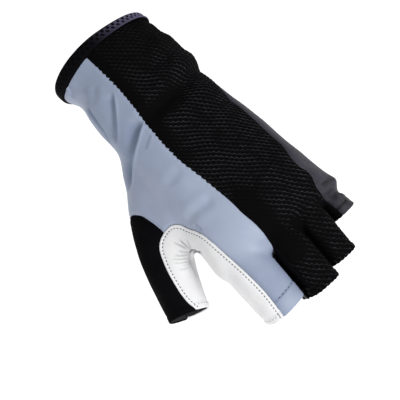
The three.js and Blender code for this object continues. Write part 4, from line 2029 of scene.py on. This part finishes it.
@dataclass(frozen=True)
class StitchLine:
    """A line of stitches at a set distance from a panel's seams or hems.

    Attributes:
        from_hem: Whether it follows the hems. If not, it follows the seams.
        inset: Its distance from them.
        stitch: The kind of stitch.
        start_x: Where the line may start, along the glove.
    """

    from_hem: bool
    inset: float
    stitch: Stitch
    start_x: float = 20.0


@dataclass
class StitchedPanel(SewnPanel):
    """A panel with lines of stitches on its outer face."""

    lines: tuple[StitchLine, ...] = ()
    thread: Finish = DARK_THREAD

    def map_cloth(self) -> None:
        """Lays the map on the panel, and sews its lines while its outer face is at hand."""
        super().map_cloth()
        self.bm.normal_update()
        places = coordinates(self.bm)
        layer = self.bm.verts.layers.int["outside"]
        outer = np.array([bool(vertex[layer]) for vertex in self.bm.verts])
        stitches = bmesh.new()
        count = 0
        for line in self.lines:
            distance, _ = (self.hem_edging if line.from_hem else self.seam_edging).measure(places)
            distance[~outer | (places[:, 0] < line.start_x)] = np.nan
            for route in contour(self.bm, distance, line.inset):
                count += line.stitch.sew(stitches, route)
        if count:
            finished_object(f"{self.name}_stitches", stitches, [self.thread])


@dataclass
class CreasedPanel(StitchedPanel):
    """A panel with painted shade beside its creases, by the wrist and the finger hems and along its stitches,
    and a painted highlight over the knuckles.

    Attributes:
        painted_dimming: How strong the painted shade is by the wrist and by the finger hems.
        pressed: How dark the painted shade in the groove along the stitches is.
        plain: How dark it is made away from the knuckles, which leaves a painted highlight over them.
    """

    painted_dimming: tuple[float, float] = (0.0, 0.0)
    pressed: float = 0.2
    plain: float = 0.09

    def finish_surface(self) -> None:
        """Paints shade beside the creases, by the wrist and the finger hems and along the stitches, and
        leaves a painted highlight over the knuckles.
        """
        verts, places, facing = self.outer_face()
        clear = 1 - np.array([crease.shadow(places, facing) for crease in CREASES])
        x = places[:, 0]
        # Painted shade by the wrist and by the finger hems.
        painted_dimming = self.painted_dimming[0] * (1 - ease(x, 50, 80))
        painted_dimming += self.painted_dimming[1] * ease(x, 124, 140) * (1 - 0.4 * ease(x, 156, 160))
        # Painted shade everywhere but over the knuckles, which stand out as a painted highlight.
        painted_dimming += self.plain * (1 - bell(x - 120, 11))
        to_hem, _ = self.hem_edging.measure(places)
        # Painted shade in the groove along the hem's stitches.
        painted_dimming += self.pressed * bell(to_hem - self.lines[0].inset, 0.6) * (x > 100)
        self.store_shadow(verts, 1 - np.prod(clear, axis=0) * (1 - painted_dimming))


@dataclass
class LightInsert(StitchedPanel):
    """The white leather between the thumb and the first finger, gathered at the crotch."""

    puckers: tuple[tuple[float, float, Line], ...] = (
        (1.0, 0.5, ((46.6, -97.2), (47.8, -96.6), (49.6, -96.5))),
        (0.8, 0.4, ((44.9, -97.0), (45.4, -96.1), (46.8, -95.7), (47.8, -96.0))),
    )
    gather_lines: tuple[tuple[float, Line], ...] = (
        (0.8, ((45.9, -95.4), (41.1, -91.7), (39.6, -89.9))),
        (0.6, ((43.5, -94.9), (39.7, -93.1), (36.0, -91.8))),
        (0.55, ((45.4, -94.2), (44.0, -91.8), (43.2, -90.0))),
        (0.5, ((44.2, -96.3), (41.6, -96.5), (38.7, -95.4))),
        (0.5, ((44.2, -97.5), (40.5, -98.2), (36.8, -97.4))),
        (0.4, ((44.0, -99.2), (40.6, -99.7), (35.9, -99.4))),
        (0.35, ((44.0, -100.8), (40.6, -101.3), (36.4, -101.1))),
        (0.3, ((44.9, -103.2), (42.1, -104.2), (39.2, -104.2))),
    )
    roll: Line = (
        (45.9, -95.9), (45.0, -97.2), (44.8, -99.6), (45.7, -102.7), (47.1, -104.9), (48.3, -107.8),
        (49.9, -111.0),
    )
    stitch_inset: float = 1.5
    stitch_press: float = 0.22
    pucker_depth: float = 1.2

    def finish_surface(self) -> None:
        """Presses in the gathers, the stitch line and the pucker at the crotch, and paints shade into them.
        """
        verts, places, facing = self.outer_face()
        to_seam, _ = self.seam_edging.measure(places)
        x, y, z = places.T
        inner = ease(to_seam, self.stitch_inset, self.stitch_inset + 1.5) * (z > -24) * (x < 125)
        gathers, pucker = (depth * inner for depth in self.gathers(places))
        # Painted shade over the thumb's side and over the part towards the wrist, kept off the rim, so the
        # rim and the index side stay lighter.
        pale = (0.065 * (1 - ease(y, -46, -38)) + 0.06 * (1 - ease(x, 100, 112))) * ease(to_seam, 1.0, 2.2)
        pressed = self.stitch_press * bell(to_seam - self.stitch_inset, 0.45)
        sink = gathers + self.pucker_depth * pucker + pressed
        for vertex, place in zip(verts, places - facing * sink[:, None]):
            vertex.co = place
        # Painted shade in the gathers and the roll, darkest in the pucker's hole.
        self.store_shadow(verts, 0.34 * np.clip(gathers, 0, 1) + 0.95 * pucker + pale)

    def gathers(self, places: Array) -> tuple[Array, Array]:
        """Presses lines in as they are seen from above the corner between the thumb and the hand.

        Args:
            places: Points of the outer face.

        Returns:
            How deep the gathers and the roll beside them lie, and where the pucker is, from 0 to 1.
        """
        seen = np.stack([places @ (0.676, 0.737, 0.0), places @ (-0.668, 0.612, 0.423)], axis=1)
        pucker, sink = np.zeros(len(places)), np.zeros(len(places))
        for depth, width, line in self.puckers:
            gap, along = distance_to_path(seen, spline(line, 6))
            shape = bell(gap, width) * taper(along, -0.1, 0.15, 0.85, 1.1)
            pucker = np.maximum(pucker, depth * shape)
        for depth, line in self.gather_lines:
            gap, along = distance_to_path(seen, spline(line, 6))
            sink += depth * taper(along, -0.05, 0.1, 0.7, 1.0) * dent(gap, 0.3 + 0.14 * along, 0.45)
        gap, along = distance_to_path(seen, spline(self.roll, 6))
        sink += 0.7 * (1 - 0.6 * along) * (1 - ease(along, 0.75, 1.0)) * bell(gap, 0.55)
        return sink, pucker


@dataclass
class CuffBand:
    """The elastic that binds the wrist: a lace of staggered eyelets, with a cord along the hand side."""

    ends: SmoothTable = SmoothTable(
        ("degrees", "low", "high"),
        (
            (0, 2.7, 5.9), (90, 2.2, 7.4), (148, 1.1, 7.6), (170, 0.6, 6.6), (188, 0.6, 5.3), (270, 1.6, 5.6),
            (360, 2.7, 5.9),
        ),
    )
    thickness: float = 1.9
    width: float = 5.5
    girth: float = 160.0
    eyelet_pitch: float = 3.1
    eyelet_depth: float = 0.4
    eyelet_size: tuple[float, float] = (0.85, 0.34)
    rows: tuple[tuple[float, float], ...] = ((-0.42, 0.0), (0.18, 0.5))
    cord: tuple[float, float, float] = (0.76, 0.2, 0.3)
    around: int = 620
    profile: int = 56

    def build(self) -> None:
        """Makes the band."""
        bm = bmesh.new()
        bmesh.ops.create_grid(bm, x_segments=self.around, y_segments=self.profile, size=1)
        flat = coordinates(bm)
        angle = (flat[:, 0] + 1) * math.pi
        across, outward = self.outline((flat[:, 1] + 1) / 2)
        ends = self.ends.at(np.degrees(angle))
        x = (ends["low"] + ends["high"]) / 2 + (ends["high"] - ends["low"]) / 2 * across
        face = ease(outward, 0.55, 0.95)
        holes = self.eyelets(angle, across) * face
        cord = bell(across - self.cord[0], self.cord[1]) * face
        # Where the lace's painted sheen shows; its relief is made deeper there too.
        bloom = self.bloom(angle)
        proud = 0.15 + self.thickness / 2 * outward
        proud += self.cord[2] * cord * (0.3 + 0.7 * bloom) - self.eyelet_depth * holes * (0.25 + 0.75 * bloom)
        move_to(bm, HAND.place(x, np.cos(angle), np.sin(angle), proud))
        loft_layer = bm.verts.layers.float.new("loft")
        painted_sheen_layer = bm.verts.layers.float.new("bloom")
        # The painted sheen fades towards the band's edge on the arm side and over the cord.
        edge = 1 - ease(-across, 0.62, 0.9)
        for vertex, height, shown in zip(bm.verts, (1 - holes) * face, bloom * (0.9 - 0.25 * cord) * edge):
            vertex[loft_layer] = height
            vertex[painted_sheen_layer] = shown
        bmesh.ops.remove_doubles(bm, verts=bm.verts, dist=1e-3)
        bmesh.ops.recalc_face_normals(bm, faces=bm.faces)
        piece = finished_object("elastic_cuff", bm, [BLACK_ELASTIC])
        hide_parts("cuff_band")

    def outline(self, share: Array) -> tuple[Array, Array]:
        """The band's rounded section, read evenly along its edge.

        Args:
            share: Places round the section, from 0 to 1.

        Returns:
            The place across the band and the place out from the wrist, each from -1 to 1.
        """
        turn = np.linspace(0, 2 * math.pi, 2001)
        across, outward = squared(np.cos(turn), 7), squared(np.sin(turn), 4)
        steps = np.hypot(np.diff(across) * self.width, np.diff(outward) * self.thickness)
        reach = np.concatenate([[0], np.cumsum(steps)])
        where = share * reach[-1]
        return np.interp(where, reach, across), np.interp(where, reach, outward)

    def eyelets(self, angle: Array, across: Array) -> Array:
        """How far a point lies in an eyelet: 1 at its middle, and 0 on the lace between."""
        whole = round(self.girth / self.eyelet_pitch)
        found = np.zeros(len(angle))
        for middle, stagger in self.rows:
            place = angle / (2 * math.pi) * whole + stagger
            along = (place - np.round(place)) * self.eyelet_pitch
            slanted = along + 0.5 * (across - middle) * (1 if stagger else -1)
            near = (slanted / self.eyelet_size[0]) ** 2 + ((across - middle) / self.eyelet_size[1]) ** 2
            found = np.maximum(found, np.exp(-(near**1.5)))
        return found

    def bloom(self, angle: Array) -> Array:
        """How strong the lace's painted violet sheen is: most at the ulnar side of the back."""
        ulnar = 0.35 + 0.65 * ease(np.sin(angle), -0.4, 0.3)
        return 0.01 + 0.97 * ease(np.cos(angle + 0.2), -0.44, 0.84) * ulnar


# The studio


@dataclass(frozen=True)
class Studio:
    """A pale floor, soft white light and the camera."""

    target: tuple[float, float, float] = (0.092, -0.017, 0.0)
    azimuth: float = 47.5
    elevation: float = 65.0
    distance: float = 0.8
    lens: float = 151.6
    floor_height: float = -0.3
    world: float = 0.43

    def build(self) -> None:
        """Sets up the camera, the lights and the floor."""
        self.add_camera()
        self.add_light("key", (0.85, 0.4, 1.05), 0.45, 11.5)
        self.add_light("rim", (0.35, 1.15, 0.75), 0.6, 1.9)
        self.add_light("fill", (0.7, -1.1, 0.45), 0.7, 4.3)
        world = bpy.data.worlds.new("studio")
        world.use_nodes = True
        bpy.context.scene.world = world
        board = NodeBoard(world.node_tree)
        glow = board.add("ShaderNodeBackground", {"Color": (1.0, 1.0, 1.0, 1.0), "Strength": self.world})
        board.add("ShaderNodeOutputWorld", {"Surface": glow.outputs["Background"]})
        bpy.context.scene.view_settings.view_transform = "Standard"
        self.add_floor()

    def add_camera(self) -> None:
        """Puts the camera at the viewing angle."""
        azimuth, elevation = math.radians(self.azimuth), math.radians(self.elevation)
        back = Vector((
            math.sin(azimuth) * math.cos(elevation),
            -math.cos(azimuth) * math.cos(elevation),
            math.sin(elevation),
        ))
        camera = placed("camera", bpy.data.cameras.new("camera"))
        camera.data.lens = self.lens
        camera.data.clip_start, camera.data.clip_end = 0.01, 50.0
        camera.location = Vector(self.target) + self.distance * back
        camera.rotation_mode = "QUATERNION"
        camera.rotation_quaternion = (-back).to_track_quat("-Z", "Y")
        bpy.context.scene.camera = camera

    def add_light(self, name: str, place: tuple[float, float, float], size: float, power: float) -> None:
        """Adds a soft square light that faces the glove.

        Args:
            name: Its name.
            place: Where it stands, in metres.
            size: Its side.
            power: Its power.
        """
        lamp = bpy.data.lights.new(name, "AREA")
        lamp.shape = "SQUARE"
        lamp.size, lamp.energy = size, power
        light = placed(name, lamp)
        light.location = place
        light.rotation_mode = "QUATERNION"
        light.rotation_quaternion = (Vector(self.target) - Vector(place)).to_track_quat("-Z", "Y")

    def add_floor(self) -> None:
        """Lays the floor, well below the glove."""
        bm = bmesh.new()
        bmesh.ops.create_grid(bm, x_segments=8, y_segments=8, size=4)
        bmesh.ops.translate(bm, verts=bm.verts, vec=(0, 0, self.floor_height))
        mesh = stored("floor", bm)
        mesh.materials.append(PALE_FLOOR.build())
        floor = placed("floor", mesh)


PANELS: tuple[SewnPanel, ...] = (
    CreasedPanel(
        Panel.SIDE, "stretch_side", "side_stretch", GREY_STRETCH, painted_dimming=(0.2, 0.34),
        hem_fold=7.8, lines=(StitchLine(True, 7.8, LONG_STITCH),),
    ),
    KnitBack(Panel.BACK, "knit_back", "back_knit", BLACK_KNIT, wall=1.2, seam_dip=0.3, seam_round=0.3),
    CreasedPanel(
        Panel.PALM, "leather_palm", "palm_leather", SLATE_LEATHER, painted_dimming=(0.0, 0.2), pressed=0.9,
        hem_fold=3.6, fine=False, thread=BLACK_THREAD, lines=(StitchLine(True, 3.6, LONG_STITCH),),
    ),
    LightInsert(
        Panel.INSERT, "leather_insert", "white_leather", WHITE_LEATHER, proud=0.35, seam_dip=0.25,
        seam_width=0.5, seam_round=0.3, wall=1.3,
        lines=(StitchLine(False, 1.5, FINE_STITCH), StitchLine(True, 1.9, SHORT_STITCH)),
    ),
    SewnPanel(Panel.THUMB, "stretch_thumb", "black_stretch", BLACK_STRETCH, hem_round=0.7),
    SewnPanel(Panel.GUSSET_INDEX, "gusset_index_middle", "black_stretch", BLACK_STRETCH),
    SewnPanel(Panel.GUSSET_MIDDLE, "gusset_middle_ring", "black_stretch", BLACK_STRETCH),
    SewnPanel(
        Panel.GUSSET_RING, "gusset_ring_little", "black_stretch", BLACK_STRETCH, proud=-0.3, seam_gap=-0.45
    ),
)


def main() -> None:
    """Builds the glove round its solids, piece by piece."""
    Studio().build()
    CuffBand().build()
    skin = GloveForm().build()
    for panel in PANELS:
        panel.build(skin)


if __name__ == "__main__":
    main()
